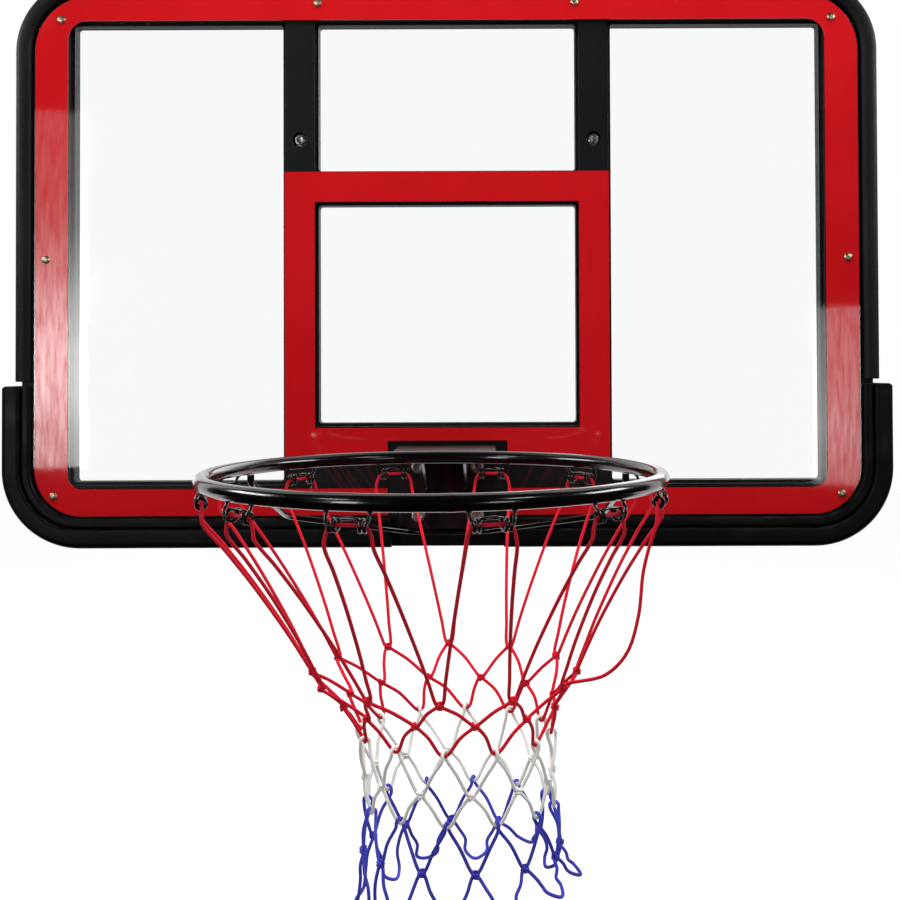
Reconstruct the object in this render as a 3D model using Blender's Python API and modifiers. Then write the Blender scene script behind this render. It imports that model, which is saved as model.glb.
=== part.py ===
"""Basketball hoop: framed clear backboard, fixed steel rim, wire net hooks and a three-colour net.

Metres, +Z up. X runs along the board, the board faces -Y, and Z = 0 is the plane of the rim.
The origin lies on the rear face of the frame, on the board's centre line.
A "forward" distance is measured from that rear face towards the player, which is -Y.
"""
import math

import bmesh
import bpy
from mathutils import Matrix, Vector

# Gap between touching pieces, and between a shank and its hole
GAP = 0.0003
HOLE_GAP = 0.0006

# Backboard frame
FRAME_DEPTH = 0.030
FRAME_HALF_WIDTH = 0.594
FRAME_TOP = 0.653
FRAME_CORNER = 0.103
FRAME_SKIN = 0.004
FRAME_WALL = 0.004
RAIL_REAR = 0.001
RAIL_CROWN = 0.0055
BEAD_WIDTH = 0.021
BEAD_END = 0.094
BEAD_GROOVE_DEPTH = 0.006
BEAD_LAP = 0.0035
BODY_MARGIN = 0.0015
FLANGE_WIDTH = 0.0180
FLANGE_REAR = 0.012
FLANGE_LAP = 0.008

# Windows of the frame, their outer edges in distances in from the sheet's edges
SIDE_MEMBER = 0.0515
TOP_MEMBER = 0.0395
BOTTOM_MEMBER = 0.0475
SIDE_WINDOW_INNER = 0.2275
UPRIGHT_WIDTH = 0.049
TOP_WINDOW_BOTTOM = 0.385
CENTRE_WINDOW_TOP = 0.337
CENTRE_WINDOW_BOTTOM = 0.035
WINDOW_LEDGE = 0.0045
WINDOW_LEDGE_DEPTH = 0.009
WINDOW_CORNER = 0.004
SIDE_CORNER_BLOCK = 0.050
CENTRE_BLOCK_HALF = 0.068
SIDE_CELLS = 3
TOP_CELLS = 4
CROSS_CELLS = 2
UPRIGHT_CELLS = 1
BOTTOM_CELLS = 2

# Clear sheet and its printed skins
SHEET_THICKNESS = 0.004
SHEET_MARGIN = 0.004
SHEET_BOTTOM = -0.0925
SHEET_CORNER = 0.066
NOTCH_HALF_WIDTH = 0.0805
NOTCH_TOP = 0.0095
NOTCH_CORNER = 0.004
PRINT_THICKNESS = 0.0004
PRINT_INSET = 0.0018
BORDER_SIDE = 0.047
BORDER_TOP = 0.036
BORDER_BOTTOM = 0.0385
BORDER_INNER_CORNER = 0.026
BORDER_LOWER_CORNER = 0.020
TARGET_HALF_WIDTH = 0.2235
TARGET_TOP = 0.382
TARGET_BOTTOM = -0.0125
TARGET_BAND = 0.0415

# Bottom pad, in distances out from the sheet's edge and forward of the rear face
PAD_END = 0.0880
PAD_LIP_INNER = 0.0015
PAD_LIP_OUTER = 0.0150
PAD_OUTER = 0.0420
PAD_LIP_RISE = 0.0085
PAD_BODY_RISE = 0.0105
PAD_GROOVE = 0.0050
PAD_GROOVE_WIDTH = 0.0015
PAD_LIP_ROUND = 0.0040
PAD_BODY_ROUND = 0.0045
PAD_OUTER_ROUND = 0.0080
PAD_ARC_STEP = 45
PAD_REAR = 0.001
PAD_NOTCH_HALF = 0.0765
PAD_NOTCH_FORWARD = 0.026

# Sheet screws
SCREW_HEAD_RADIUS = 0.0055
SCREW_HEAD_HEIGHT = 0.0030
SCREW_RADIUS = 0.0022
SCREW_LENGTH = 0.0180
SCREW_BOSS_RADIUS = 0.0070
SCREW_SIDES = 8
SCREW_HOLE_SIDES = 6
TOP_CORNER_SCREW = (0.038, 0.034)
TOP_INNER_SCREW = (0.177, 0.012)
SIDE_SCREW = (0.017, 0.262)
BOTTOM_CORNER_SCREW = (0.028, 0.0295)
BOTTOM_INNER_SCREW = (0.176, 0.0225)

# Wall bolts through the uprights, M8, 16 in apart
WALL_BOLT_X = 0.2032
WALL_BOLT_Z = 0.4275
WALL_BOLT_RADIUS = 0.0040
WALL_BOLT_FLATS = 0.013
WALL_BOLT_HEAD = 0.0053
WALL_BOLT_REACH = 0.045
WALL_RECESS_RADIUS = 0.0100
WALL_RECESS_DEPTH = 0.0090
WALL_BOSS_RADIUS = 0.0165
WALL_SHEET_HOLE = 0.0108
WALL_HOLE_SIDES = 12
WALL_WASHER_RADIUS = 0.0085
WALL_WASHER_THICKNESS = 0.0016

# Rim ring
RING_INNER_RADIUS = 0.2286
RING_BAR_RADIUS = 0.0080
RING_REACH = 0.3775
RING_SEGMENTS = 48
RING_BAR_SIDES = 8

# Rim bracket, gussets and brace
BRACKET_HALF_WIDTH = 0.066
BRACKET_THICKNESS = 0.004
BRACKET_TOP = 0.005
BRACKET_BEND = 0.006
GUSSET_X = 0.0265
GUSSET_THICKNESS = 0.004
GUSSET_TOE = 0.010
GUSSET_FOOT = 0.012
GUSSET_ROUND = 0.060
GUSSET_RING_CLEARANCE = 0.003
BRACE_RADIUS = 0.0040
BRACE_RING_ANGLE = 25.8
BRACE_DROP = 0.010
BRACE_KNEE = (0.203, 0.104, -0.078)
BRACE_HEEL = (0.084, 0.029, -0.1045)
BRACE_FOOT_HALF = 0.046
BRACE_FOOT_DROP = 0.114

# Rim bolts, M10, with their washers, nuts and backing plate
RIM_BOLT_X = 0.040
RIM_BOLT_UPPER = -0.024
RIM_BOLT_LOWER = -0.0905
RIM_BOLT_RADIUS = 0.0050
RIM_BOLT_FLATS = 0.017
RIM_BOLT_HEAD = 0.0064
RIM_BOLT_END = 0.0020
RIM_WASHER_RADIUS = 0.0100
RIM_WASHER_THICKNESS = 0.0020
RIM_NUT_HEIGHT = 0.0080
BACKING_HALF_WIDTH = 0.058
BACKING_TOP = -0.011
BACKING_BOTTOM = -0.1035
BACKING_THICKNESS = 0.003
BACKING_POCKET_DEPTH = 0.0165
BACKING_MARGIN = 0.003

# Net hooks: each is one bent wire with two eyes
HOOK_COUNT = 12
HOOK_WIRE_RADIUS = 0.0016
HOOK_EYE_RADIUS = 0.0052
HOOK_EYE_DROP = 0.0118
HOOK_EYE_OUTER = 0.0165
HOOK_EYE_INNER = 0.0090
HOOK_LEG_SPREAD = 0.0200
HOOK_EYE_TURNS = 1.75
HOOK_EYE_STEPS = 5
HOOK_BRIDGE_RISE = 0.0010

# Net: cords, knots and the rows they form, from the rim down
CORD_RADIUS = 0.0018
KNOT_SWELL = 2.0
KNOT_HALF_WIDTH = 0.0032
KNOT_DIP = 0.0015
SHOULDER_HALF_WIDTH = 0.0205
ARCH_HALF_WIDTH = 0.0180
SHOULDER_DROP = 0.0070
LEG_BULGES = ((0.35, -0.0053), (0.70, -0.0048))
SLACK_HOOK = 10
SLACK_BULGES = ((0.30, 0.0146), (0.56, 0.034), (0.78, 0.043), (0.92, 0.034))
LINK_RADIUS = 0.0050
LINK_HALF_WIDTH = 0.0042
LINK_DIP = 0.0022
KNOT_STAGGER = 0.0007
LOOP_HALF_WIDTH = 0.0120
LOOP_RISES = (0.030, 0.022, 0.030, 0.016, 0.010, 0.004, -0.004, -0.010, -0.006, 0.002, 0.018, 0.028)
LOOP_SWAYS = (0.018, -0.010, 0.012, -0.014, 0.008, -0.012, 0.010, -0.012, 0.010, -0.014, 0.016, 0.020)
NET_ROWS = {
    1: {"z": -0.204, "wide": 0.138, "deep": 0.122, "shift": 0.011, "twist": 0},
    2: {"z": -0.234, "wide": 0.112, "deep": 0.092, "shift": 0.017, "twist": -1},
    3: {"z": -0.266, "wide": 0.100, "deep": 0.080, "shift": 0.022, "twist": -5},
    4: {"z": -0.309, "wide": 0.098, "deep": 0.070, "shift": 0.026, "twist": -7},
    5: {"z": -0.341, "wide": 0.098, "deep": 0.065, "shift": 0.027, "twist": -7},
    6: {"z": -0.385, "wide": 0.103, "deep": 0.070, "shift": 0.029, "twist": -7},
    7: {"z": -0.440, "wide": 0.104, "deep": 0.075, "shift": 0.030, "twist": -7},
}

# Sides of the round cuts, and the step round large corners in degrees
HOLE_SIDES = 10
ARC_STEP = 15

# Values that follow from the ones above
SHEET_BACK = FRAME_DEPTH + GAP
SHEET_FRONT = SHEET_BACK + SHEET_THICKNESS
PRINT_BACK = SHEET_FRONT + GAP
PRINT_FRONT = PRINT_BACK + PRINT_THICKNESS
SHEET_HALF_WIDTH = FRAME_HALF_WIDTH - BEAD_WIDTH - SHEET_MARGIN
SHEET_TOP = FRAME_TOP - BEAD_WIDTH - SHEET_MARGIN
SHEET_TOP_CORNER = FRAME_CORNER - BEAD_WIDTH - SHEET_MARGIN
SIDE_WINDOW_OUTER = SHEET_HALF_WIDTH - SIDE_MEMBER
SIDE_WINDOW_TOP = SHEET_TOP - TOP_MEMBER
SIDE_WINDOW_BOTTOM = SHEET_BOTTOM + BOTTOM_MEMBER
BORDER_INNER_HALF = SHEET_HALF_WIDTH - BORDER_SIDE
BORDER_INNER_TOP = SHEET_TOP - BORDER_TOP
BORDER_INNER_BOTTOM = SHEET_BOTTOM + BORDER_BOTTOM
SCREW_PLACES = {
    "top_corner": (SHEET_HALF_WIDTH - TOP_CORNER_SCREW[0], SHEET_TOP - TOP_CORNER_SCREW[1]),
    "top_inner": (TOP_INNER_SCREW[0], SHEET_TOP - TOP_INNER_SCREW[1]),
    "side": (SHEET_HALF_WIDTH - SIDE_SCREW[0], SIDE_SCREW[1]),
    "bottom_corner": (SHEET_HALF_WIDTH - BOTTOM_CORNER_SCREW[0], SHEET_BOTTOM + BOTTOM_CORNER_SCREW[1]),
    "bottom_inner": (BOTTOM_INNER_SCREW[0], SHEET_BOTTOM + BOTTOM_INNER_SCREW[1]),
}
CELL_EDGE = WINDOW_LEDGE + FRAME_WALL
UPRIGHT_INNER = SIDE_WINDOW_INNER - UPRIGHT_WIDTH
RING_RADIUS = RING_INNER_RADIUS + RING_BAR_RADIUS
RING_FORWARD = SHEET_FRONT + RING_REACH
PLATE_BACK = FRAME_DEPTH + GAP
PLATE_FRONT = PLATE_BACK + BRACKET_THICKNESS
BRACKET_BOTTOM = -BRACE_FOOT_DROP + BRACE_RADIUS + GAP
HOOK_EYE_Z = -(RING_BAR_RADIUS + HOOK_EYE_DROP)

hoop = bpy.data.collections.new("basketball_hoop")
cutters = bpy.data.collections.new("cutters")


def clear_scene():
    """Remove every object that the scene starts with."""
    for item in list(bpy.data.objects):
        bpy.data.objects.remove(item, do_unlink=True)


def look(name, colour, roughness, metallic=0.0, alpha=1.0):
    """A Principled material in the piece's own colour."""
    material = bpy.data.materials.new(name)
    material.use_nodes = True
    shader = material.node_tree.nodes["Principled BSDF"]
    shader.inputs["Base Color"].default_value = (*colour, 1.0)
    shader.inputs["Roughness"].default_value = roughness
    shader.inputs["Metallic"].default_value = metallic
    shader.inputs["Alpha"].default_value = alpha
    return material


def place(item, collection, material=None):
    """Put an object in one collection only, with its material."""
    for holder in list(item.users_collection):
        holder.objects.unlink(item)
    collection.objects.link(item)
    if material is not None:
        item.data.materials.clear()
        item.data.materials.append(material)
    return item


def hide(item):
    """Mark an object as a cutter."""
    item.hide_render = True
    item.display_type = "WIRE"
    return place(item, cutters)


def clean(mesh):
    """Weld a closed mesh, point its faces outward and join the ones that lie in one plane."""
    shape = bmesh.new()
    shape.from_mesh(mesh)
    bmesh.ops.remove_doubles(shape, verts=shape.verts, dist=0.00001)
    bmesh.ops.dissolve_limit(shape, angle_limit=math.radians(0.05), verts=shape.verts, edges=shape.edges)
    bmesh.ops.recalc_face_normals(shape, faces=shape.faces)
    shape.to_mesh(mesh)
    shape.free()


def as_mesh(item, name, material=None):
    """Turn a curve object into a closed mesh object, and remove the curve."""
    bpy.context.scene.collection.objects.link(item)
    bpy.context.view_layer.update()
    evaluated = item.evaluated_get(bpy.context.evaluated_depsgraph_get())
    mesh = bpy.data.meshes.new_from_object(evaluated)
    mesh.name = name
    clean(mesh)
    stance = item.matrix_world.copy()
    bpy.data.objects.remove(item, do_unlink=True)
    solid = bpy.data.objects.new(name, mesh)
    solid.matrix_world = stance
    return place(solid, hoop, material)


def boolean(item, other, operation):
    """Join another object to an object, or cut it away."""
    step = item.modifiers.new(operation.lower(), "BOOLEAN")
    step.solver = "EXACT"
    step.operation = operation
    step.object = hide(other)


def settle(item):
    """Apply an object's modifiers, and smooth its round faces."""
    bpy.context.view_layer.update()
    evaluated = item.evaluated_get(bpy.context.evaluated_depsgraph_get())
    mesh = bpy.data.meshes.new_from_object(evaluated)
    clean(mesh)
    item.modifiers.clear()
    old = item.data
    item.data = mesh
    bpy.data.meshes.remove(old)
    mesh.name = item.name
    return smooth(item)


def smooth(item, angle=40):
    """Shade an object smooth up to an angle between faces."""
    item.data.shade_smooth()
    item.data.set_sharp_from_angle(angle=math.radians(angle))
    return item


def add_spline(curve, points, closed, radii=None):
    """Add a straight-sided spline through points to a curve."""
    spline = curve.splines.new("POLY")
    spline.points.add(len(points) - 1)
    for index, point in enumerate(points):
        spline.points[index].co = (*point, 1.0)
        if radii is not None:
            spline.points[index].radius = radii[index]
    spline.use_cyclic_u = closed


def rounded(corners, arc_step=ARC_STEP):
    """Points of an outline whose corners (across, up, radius) are rounded by arcs."""
    points = []
    for index, (across, up, radius) in enumerate(corners):
        here = Vector((across, up))
        before = (Vector(corners[index - 1][:2]) - here).normalized()
        after = (Vector(corners[(index + 1) % len(corners)][:2]) - here).normalized()
        if radius == 0:
            points.append(here)
            continue
        half = before.angle(after) / 2
        centre = here + (before + after).normalized() * radius / math.sin(half)
        start = here + before * radius / math.tan(half) - centre
        turn = start.angle_signed(here + after * radius / math.tan(half) - centre)
        steps = max(2, round(math.degrees(abs(turn)) / arc_step))
        for step in range(steps + 1):
            swing = Matrix.Rotation(-turn * step / steps, 2)
            points.append(centre + swing @ start)
    return [(point.x, point.y) for point in points]


def box(left, right, low, high, radius=0.0):
    """Points of a rectangle, with rounded corners if it has a radius."""
    corners = [(left, low, radius), (right, low, radius), (right, high, radius), (left, high, radius)]
    return rounded(corners, 45)


def circle(across, up, radius, sides=HOLE_SIDES):
    """Points of a circle."""
    turns = [2 * math.pi * (step + 0.5) / sides for step in range(sides)]
    return [(across + radius * math.cos(turn), up + radius * math.sin(turn)) for turn in turns]


def both_sides(places):
    """Each place (x, z), and the one that mirrors it."""
    return [(side * x, z) for x, z in places for side in (-1, 1)]


def flat(name, outlines, low, high, material=None):
    """A flat solid with outlines in X and Z, from one forward distance to another."""
    curve = bpy.data.curves.new(name, "CURVE")
    curve.dimensions = "2D"
    curve.fill_mode = "BOTH"
    curve.extrude = (high - low) / 2
    for outline in outlines:
        add_spline(curve, [(across, up, 0.0) for across, up in outline], True)
    item = bpy.data.objects.new(name, curve)
    item.rotation_euler = (math.radians(90), 0.0, 0.0)
    item.location = (0.0, -(low + high) / 2, 0.0)
    return as_mesh(item, name, material)


def upright_flat(name, outline, left, right, material=None):
    """A flat solid with an outline in forward distance and Z, from one X to another."""
    curve = bpy.data.curves.new(name, "CURVE")
    curve.dimensions = "2D"
    curve.fill_mode = "BOTH"
    curve.extrude = (right - left) / 2
    add_spline(curve, [(forward, up, 0.0) for forward, up in outline], True)
    item = bpy.data.objects.new(name, curve)
    turned = Matrix(((0, 0, -1), (-1, 0, 0), (0, 1, 0))).to_4x4()
    item.matrix_world = Matrix.Translation(((left + right) / 2, 0.0, 0.0)) @ turned
    return as_mesh(item, name, material)


def swept(name, path, profile, material=None):
    """A solid whose profile (across, forward) runs along a path in X and Z."""
    section = bpy.data.curves.new(name + "_profile", "CURVE")
    section.dimensions = "2D"
    add_spline(section, [(across, forward, 0.0) for across, forward in profile], True)
    guide = bpy.data.objects.new(name + "_profile", section)
    bpy.context.scene.collection.objects.link(guide)
    curve = bpy.data.curves.new(name, "CURVE")
    curve.dimensions = "2D"
    curve.bevel_mode = "OBJECT"
    curve.bevel_object = guide
    curve.use_fill_caps = True
    add_spline(curve, [(across, up, 0.0) for across, up in path], False)
    item = bpy.data.objects.new(name, curve)
    item.rotation_euler = (math.radians(90), 0.0, 0.0)
    solid = as_mesh(item, name, material)
    bpy.data.objects.remove(guide, do_unlink=True)
    return solid


def tube(name, points, radius, material, closed=False, radii=None, resolution=1):
    """A round bar, wire or cord through points."""
    curve = bpy.data.curves.new(name, "CURVE")
    curve.dimensions = "3D"
    curve.bevel_depth = radius
    curve.bevel_resolution = resolution
    curve.use_fill_caps = not closed
    curve.twist_mode = "Z_UP" if closed else "MINIMUM"
    add_spline(curve, points, closed, radii)
    return as_mesh(bpy.data.objects.new(name, curve), name, material)


def turned(name, profile, sides, forward, across, up, material):
    """A round solid about a forward axis, from a profile (radius, height) read from its tip down."""
    mesh = bpy.data.meshes.new(name)
    points = [(radius, 0.0, height) for radius, height in profile]
    mesh.from_pydata(points, [(step, step + 1) for step in range(len(points) - 1)], [])
    item = bpy.data.objects.new(name, mesh)
    item.location = (across, -forward, up)
    item.rotation_euler = (math.radians(90), 0.0, 0.0)
    spin = item.modifiers.new("turn", "SCREW")
    spin.steps = sides
    spin.render_steps = sides
    spin.use_merge_vertices = True
    spin.merge_threshold = 0.00001
    return smooth(settle(place(item, hoop, material)), 30)


def hexagon(across, up, flats):
    """Points of a hexagon between flats."""
    return circle(across, up, flats / math.sqrt(3), 6)


def ring_point(degrees, tangential, outward, up):
    """A point by its angle round the ring, with its offsets along, out from and above the ring's line."""
    angle = math.radians(degrees) + tangential / RING_RADIUS
    reach = RING_RADIUS + outward
    return Vector((reach * math.cos(angle), -RING_FORWARD + reach * math.sin(angle), up))


def u_path(half_width, low, high, corner):
    """An inverted U in X and Z from its left foot over the top, or a U if high is below low."""
    left = [(-half_width, low, 0), (-half_width, high, corner)]
    right = [(half_width, high, corner), (half_width, low, 0)]
    return rounded(left + right)


def sheet_corners(offset, notched):
    """Corners of the sheet's outline, grown by an offset."""
    half = SHEET_HALF_WIDTH + offset
    low = SHEET_BOTTOM - offset
    high = SHEET_TOP + offset
    corners = [
        (half, low, SHEET_CORNER + offset),
        (half, high, SHEET_TOP_CORNER + offset),
        (-half, high, SHEET_TOP_CORNER + offset),
        (-half, low, SHEET_CORNER + offset),
    ]
    if notched:
        corners += [
            (-NOTCH_HALF_WIDTH, low, 0),
            (-NOTCH_HALF_WIDTH, NOTCH_TOP, NOTCH_CORNER),
            (NOTCH_HALF_WIDTH, NOTCH_TOP, NOTCH_CORNER),
            (NOTCH_HALF_WIDTH, low, 0),
        ]
    return corners


def window_boxes(grow):
    """Outlines of the four windows, each grown by the same amount."""
    corner = WINDOW_CORNER
    side = (SIDE_WINDOW_INNER - grow, SIDE_WINDOW_OUTER + grow)
    low = SIDE_WINDOW_BOTTOM - grow
    high = SIDE_WINDOW_TOP + grow
    half = UPRIGHT_INNER + grow
    return [
        box(side[0], side[1], low, high, corner),
        box(-side[1], -side[0], low, high, corner),
        box(-half, half, TOP_WINDOW_BOTTOM - grow, high, corner),
        box(-half, half, CENTRE_WINDOW_BOTTOM - grow, CENTRE_WINDOW_TOP + grow, corner),
    ]


def row_of_cells(left, right, low, high, count, along_x):
    """A member's hollow cells: a row of boxes with ribs between, clear of the window ledges."""
    start, end = (left, right) if along_x else (low, high)
    number_of_cells = round(count)
    pitch = (end - start - 2 * CELL_EDGE + FRAME_WALL) / number_of_cells
    cells = []
    for number in range(number_of_cells):
        begin = start + CELL_EDGE + pitch * number
        finish = begin + pitch - FRAME_WALL
        if along_x:
            cells.append(box(begin, finish, low + CELL_EDGE, high - CELL_EDGE))
        else:
            cells.append(box(left + CELL_EDGE, right - CELL_EDGE, begin, finish))
    return cells


def frame_cells():
    """Outlines of the hollow cells in the rear of the frame."""
    body_half = SHEET_HALF_WIDTH + BODY_MARGIN
    body_top = SHEET_TOP + BODY_MARGIN
    body_bottom = SHEET_BOTTOM - BODY_MARGIN
    inner = (UPRIGHT_INNER, SIDE_WINDOW_INNER)
    side_top = SIDE_WINDOW_TOP - SIDE_CORNER_BLOCK
    side_bottom = SIDE_WINDOW_BOTTOM + SIDE_CORNER_BLOCK
    far = SIDE_WINDOW_OUTER - SIDE_CORNER_BLOCK
    cells = row_of_cells(-far, far, SIDE_WINDOW_TOP, body_top, TOP_CELLS, True)
    half = UPRIGHT_INNER
    cells += row_of_cells(-half, half, CENTRE_WINDOW_TOP, TOP_WINDOW_BOTTOM, CROSS_CELLS, True)
    for side in (-1, 1):
        outer = sorted((side * SIDE_WINDOW_OUTER, side * body_half))
        cells += row_of_cells(*outer, side_bottom, side_top, SIDE_CELLS, False)
        upright = sorted((side * inner[0], side * inner[1]))
        cells += row_of_cells(*upright, CENTRE_WINDOW_BOTTOM, CENTRE_WINDOW_TOP, UPRIGHT_CELLS, False)
        cells += row_of_cells(*upright, TOP_WINDOW_BOTTOM, SIDE_WINDOW_TOP, UPRIGHT_CELLS, False)
        lower = sorted((side * inner[1], side * far))
        cells += row_of_cells(*lower, body_bottom, SIDE_WINDOW_BOTTOM, BOTTOM_CELLS, True)
        panel = sorted((side * CENTRE_BLOCK_HALF, side * inner[1]))
        cells += row_of_cells(*panel, SIDE_WINDOW_BOTTOM, CENTRE_WINDOW_BOTTOM, 1, True)
        cells += row_of_cells(*panel, body_bottom, SIDE_WINDOW_BOTTOM, 1, True)
    return cells


def rail_profile():
    """The rail round the frame: outer wall, rounded bead, and a lap onto the body, open at the rear."""
    lap = BEAD_WIDTH + SHEET_MARGIN - BODY_MARGIN + BEAD_LAP
    shoulder = FRAME_DEPTH - BEAD_GROOVE_DEPTH
    bead_front = SHEET_FRONT + RAIL_CROWN
    wall = FRAME_WALL
    outside = [
        (0.0, RAIL_REAR),
        (0.0, SHEET_FRONT),
        (0.20 * BEAD_WIDTH, bead_front - 0.20 * RAIL_CROWN),
        (0.50 * BEAD_WIDTH, bead_front),
        (0.80 * BEAD_WIDTH, bead_front - 0.20 * RAIL_CROWN),
        (BEAD_WIDTH, SHEET_FRONT),
        (BEAD_WIDTH, shoulder),
        (lap, shoulder),
    ]
    inside = [
        (lap, shoulder - wall),
        (BEAD_WIDTH - wall, shoulder - wall),
        (BEAD_WIDTH - wall, SHEET_FRONT - wall),
        (wall, SHEET_FRONT - wall),
        (wall, RAIL_REAR),
    ]
    return outside + inside


def build_frame(material):
    """Frame: windowed body, rail and flange, hollow behind, with bosses, recesses and holes."""
    screws = both_sides(SCREW_PLACES.values())
    walls = both_sides([(WALL_BOLT_X, WALL_BOLT_Z)])
    rims = both_sides([(RIM_BOLT_X, RIM_BOLT_UPPER), (RIM_BOLT_X, RIM_BOLT_LOWER)])
    outlines = [rounded(sheet_corners(BODY_MARGIN, False))] + window_boxes(0.0)
    frame = flat("board_frame", outlines, 0.0, FRAME_DEPTH, material)

    edge = SHEET_HALF_WIDTH + FLANGE_WIDTH
    low = SHEET_BOTTOM - FLANGE_WIDTH
    inner_half = edge - FLANGE_WIDTH - FLANGE_LAP
    inner_low = low + FLANGE_WIDTH + FLANGE_LAP
    flange_top = BEAD_END + FLANGE_LAP
    corner = SHEET_CORNER + FLANGE_WIDTH
    flange_outline = rounded([
        (-edge, flange_top, 0), (-edge, low, corner), (edge, low, corner), (edge, flange_top, 0),
        (inner_half, flange_top, 0), (inner_half, inner_low, SHEET_CORNER - FLANGE_LAP),
        (-inner_half, inner_low, SHEET_CORNER - FLANGE_LAP), (-inner_half, flange_top, 0),
    ])
    flange_front = FRAME_DEPTH - GAP
    boolean(frame, flat("flange", [flange_outline], FLANGE_REAR, flange_front), "UNION")

    path = u_path(FRAME_HALF_WIDTH, BEAD_END, FRAME_TOP, FRAME_CORNER)
    boolean(frame, swept("rail", path, rail_profile()), "UNION")

    ahead = FRAME_DEPTH + FRAME_WALL
    ledges = flat("window_ledges", window_boxes(WINDOW_LEDGE), FRAME_DEPTH - WINDOW_LEDGE_DEPTH, ahead)
    boolean(frame, ledges, "DIFFERENCE")

    bosses = [circle(x, z, SCREW_BOSS_RADIUS, 8) for x, z in screws]
    bosses += [circle(x, z, WALL_BOSS_RADIUS, HOLE_SIDES) for x, z in walls]
    cells = flat("cells", frame_cells(), -FRAME_WALL, FRAME_DEPTH - FRAME_SKIN)
    boolean(cells, flat("bosses", bosses, -2 * FRAME_WALL, ahead), "DIFFERENCE")
    boolean(frame, cells, "DIFFERENCE")

    screw_tip = PRINT_FRONT - SCREW_LENGTH - GAP
    boolean(frame, flat("screw_holes", screw_holes(), screw_tip, ahead), "DIFFERENCE")
    recesses = [circle(x, z, WALL_RECESS_RADIUS, WALL_HOLE_SIDES) for x, z in walls]
    floor = FRAME_DEPTH - WALL_RECESS_DEPTH
    boolean(frame, flat("wall_bolt_recesses", recesses, floor, ahead), "DIFFERENCE")
    half = BACKING_HALF_WIDTH + BACKING_MARGIN
    pocket = box(-half, half, BACKING_BOTTOM - BACKING_MARGIN, BACKING_TOP + BACKING_MARGIN)
    boolean(frame, flat("backing_pocket", [pocket], -FRAME_WALL, BACKING_POCKET_DEPTH), "DIFFERENCE")
    through = [circle(x, z, WALL_BOLT_RADIUS + HOLE_GAP) for x, z in walls]
    through += [circle(x, z, RIM_BOLT_RADIUS + HOLE_GAP) for x, z in rims]
    boolean(frame, flat("bolt_holes", through, -FRAME_WALL, ahead), "DIFFERENCE")
    return smooth(settle(frame), 30)


def screw_holes():
    """Outlines of the holes for the sheet screws."""
    places = both_sides(SCREW_PLACES.values())
    return [circle(x, z, SCREW_RADIUS + HOLE_GAP, SCREW_HOLE_SIDES) for x, z in places]


def build_sheet(material):
    """Clear sheet with its notch, screw holes and two access holes."""
    outlines = [rounded(sheet_corners(0.0, True))]
    outlines += screw_holes()
    walls = both_sides([(WALL_BOLT_X, WALL_BOLT_Z)])
    outlines += [circle(x, z, WALL_SHEET_HOLE, WALL_HOLE_SIDES) for x, z in walls]
    return smooth(flat("clear_sheet", outlines, SHEET_BACK, SHEET_FRONT, material), 30)


def build_prints(material):
    """Red border and target, each a thin skin on the sheet's face."""
    corners = sheet_corners(-PRINT_INSET, False)
    edge = NOTCH_HALF_WIDTH + PRINT_INSET
    low = SHEET_BOTTOM + PRINT_INSET
    half = BORDER_INNER_HALF
    inner = [
        (-edge, low, 0),
        (-edge, BORDER_INNER_BOTTOM, 0),
        (-half, BORDER_INNER_BOTTOM, BORDER_LOWER_CORNER),
        (-half, BORDER_INNER_TOP, BORDER_INNER_CORNER),
        (half, BORDER_INNER_TOP, BORDER_INNER_CORNER),
        (half, BORDER_INNER_BOTTOM, BORDER_LOWER_CORNER),
        (edge, BORDER_INNER_BOTTOM, 0),
        (edge, low, 0),
    ]
    outlines = [rounded(corners + inner)]
    outlines += screw_holes()
    smooth(flat("border_print", outlines, PRINT_BACK, PRINT_FRONT, material), 30)

    wide = TARGET_HALF_WIDTH
    top = NOTCH_TOP + PRINT_INSET
    target = rounded([
        (edge, TARGET_BOTTOM, 0), (wide, TARGET_BOTTOM, 0), (wide, TARGET_TOP, 0), (-wide, TARGET_TOP, 0),
        (-wide, TARGET_BOTTOM, 0), (-edge, TARGET_BOTTOM, 0), (-edge, top, 0), (edge, top, 0),
    ])
    hole = box(TARGET_BAND - wide, wide - TARGET_BAND, TARGET_BOTTOM + TARGET_BAND, TARGET_TOP - TARGET_BAND)
    flat("target_print", [target, hole], PRINT_BACK, PRINT_FRONT, material)


def pad_profile():
    """The pad: a lip with its own bead on the flange, a thick outer body, and a lap behind the flange."""
    inner = PAD_LIP_INNER
    groove = PAD_LIP_OUTER
    outer = PAD_OUTER
    seat = FRAME_DEPTH + GAP
    lip = SHEET_FRONT + PAD_LIP_RISE
    body = SHEET_FRONT + PAD_BODY_RISE
    flange = FLANGE_WIDTH + GAP
    lap = BODY_MARGIN + 2 * GAP
    return rounded([
        (inner, seat, 0),
        (inner, lip, PAD_LIP_ROUND),
        (groove, lip, PAD_LIP_ROUND),
        (groove, lip - PAD_GROOVE, 0),
        (groove + PAD_GROOVE_WIDTH, lip - PAD_GROOVE, 0),
        (groove + PAD_GROOVE_WIDTH, body, PAD_BODY_ROUND),
        (outer, body, PAD_OUTER_ROUND),
        (outer, PAD_REAR, PAD_BODY_ROUND),
        (lap, PAD_REAR, 0),
        (lap, FLANGE_REAR - GAP, 0),
        (flange, FLANGE_REAR - GAP, 0),
        (flange, seat, 0),
    ], PAD_ARC_STEP)


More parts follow.
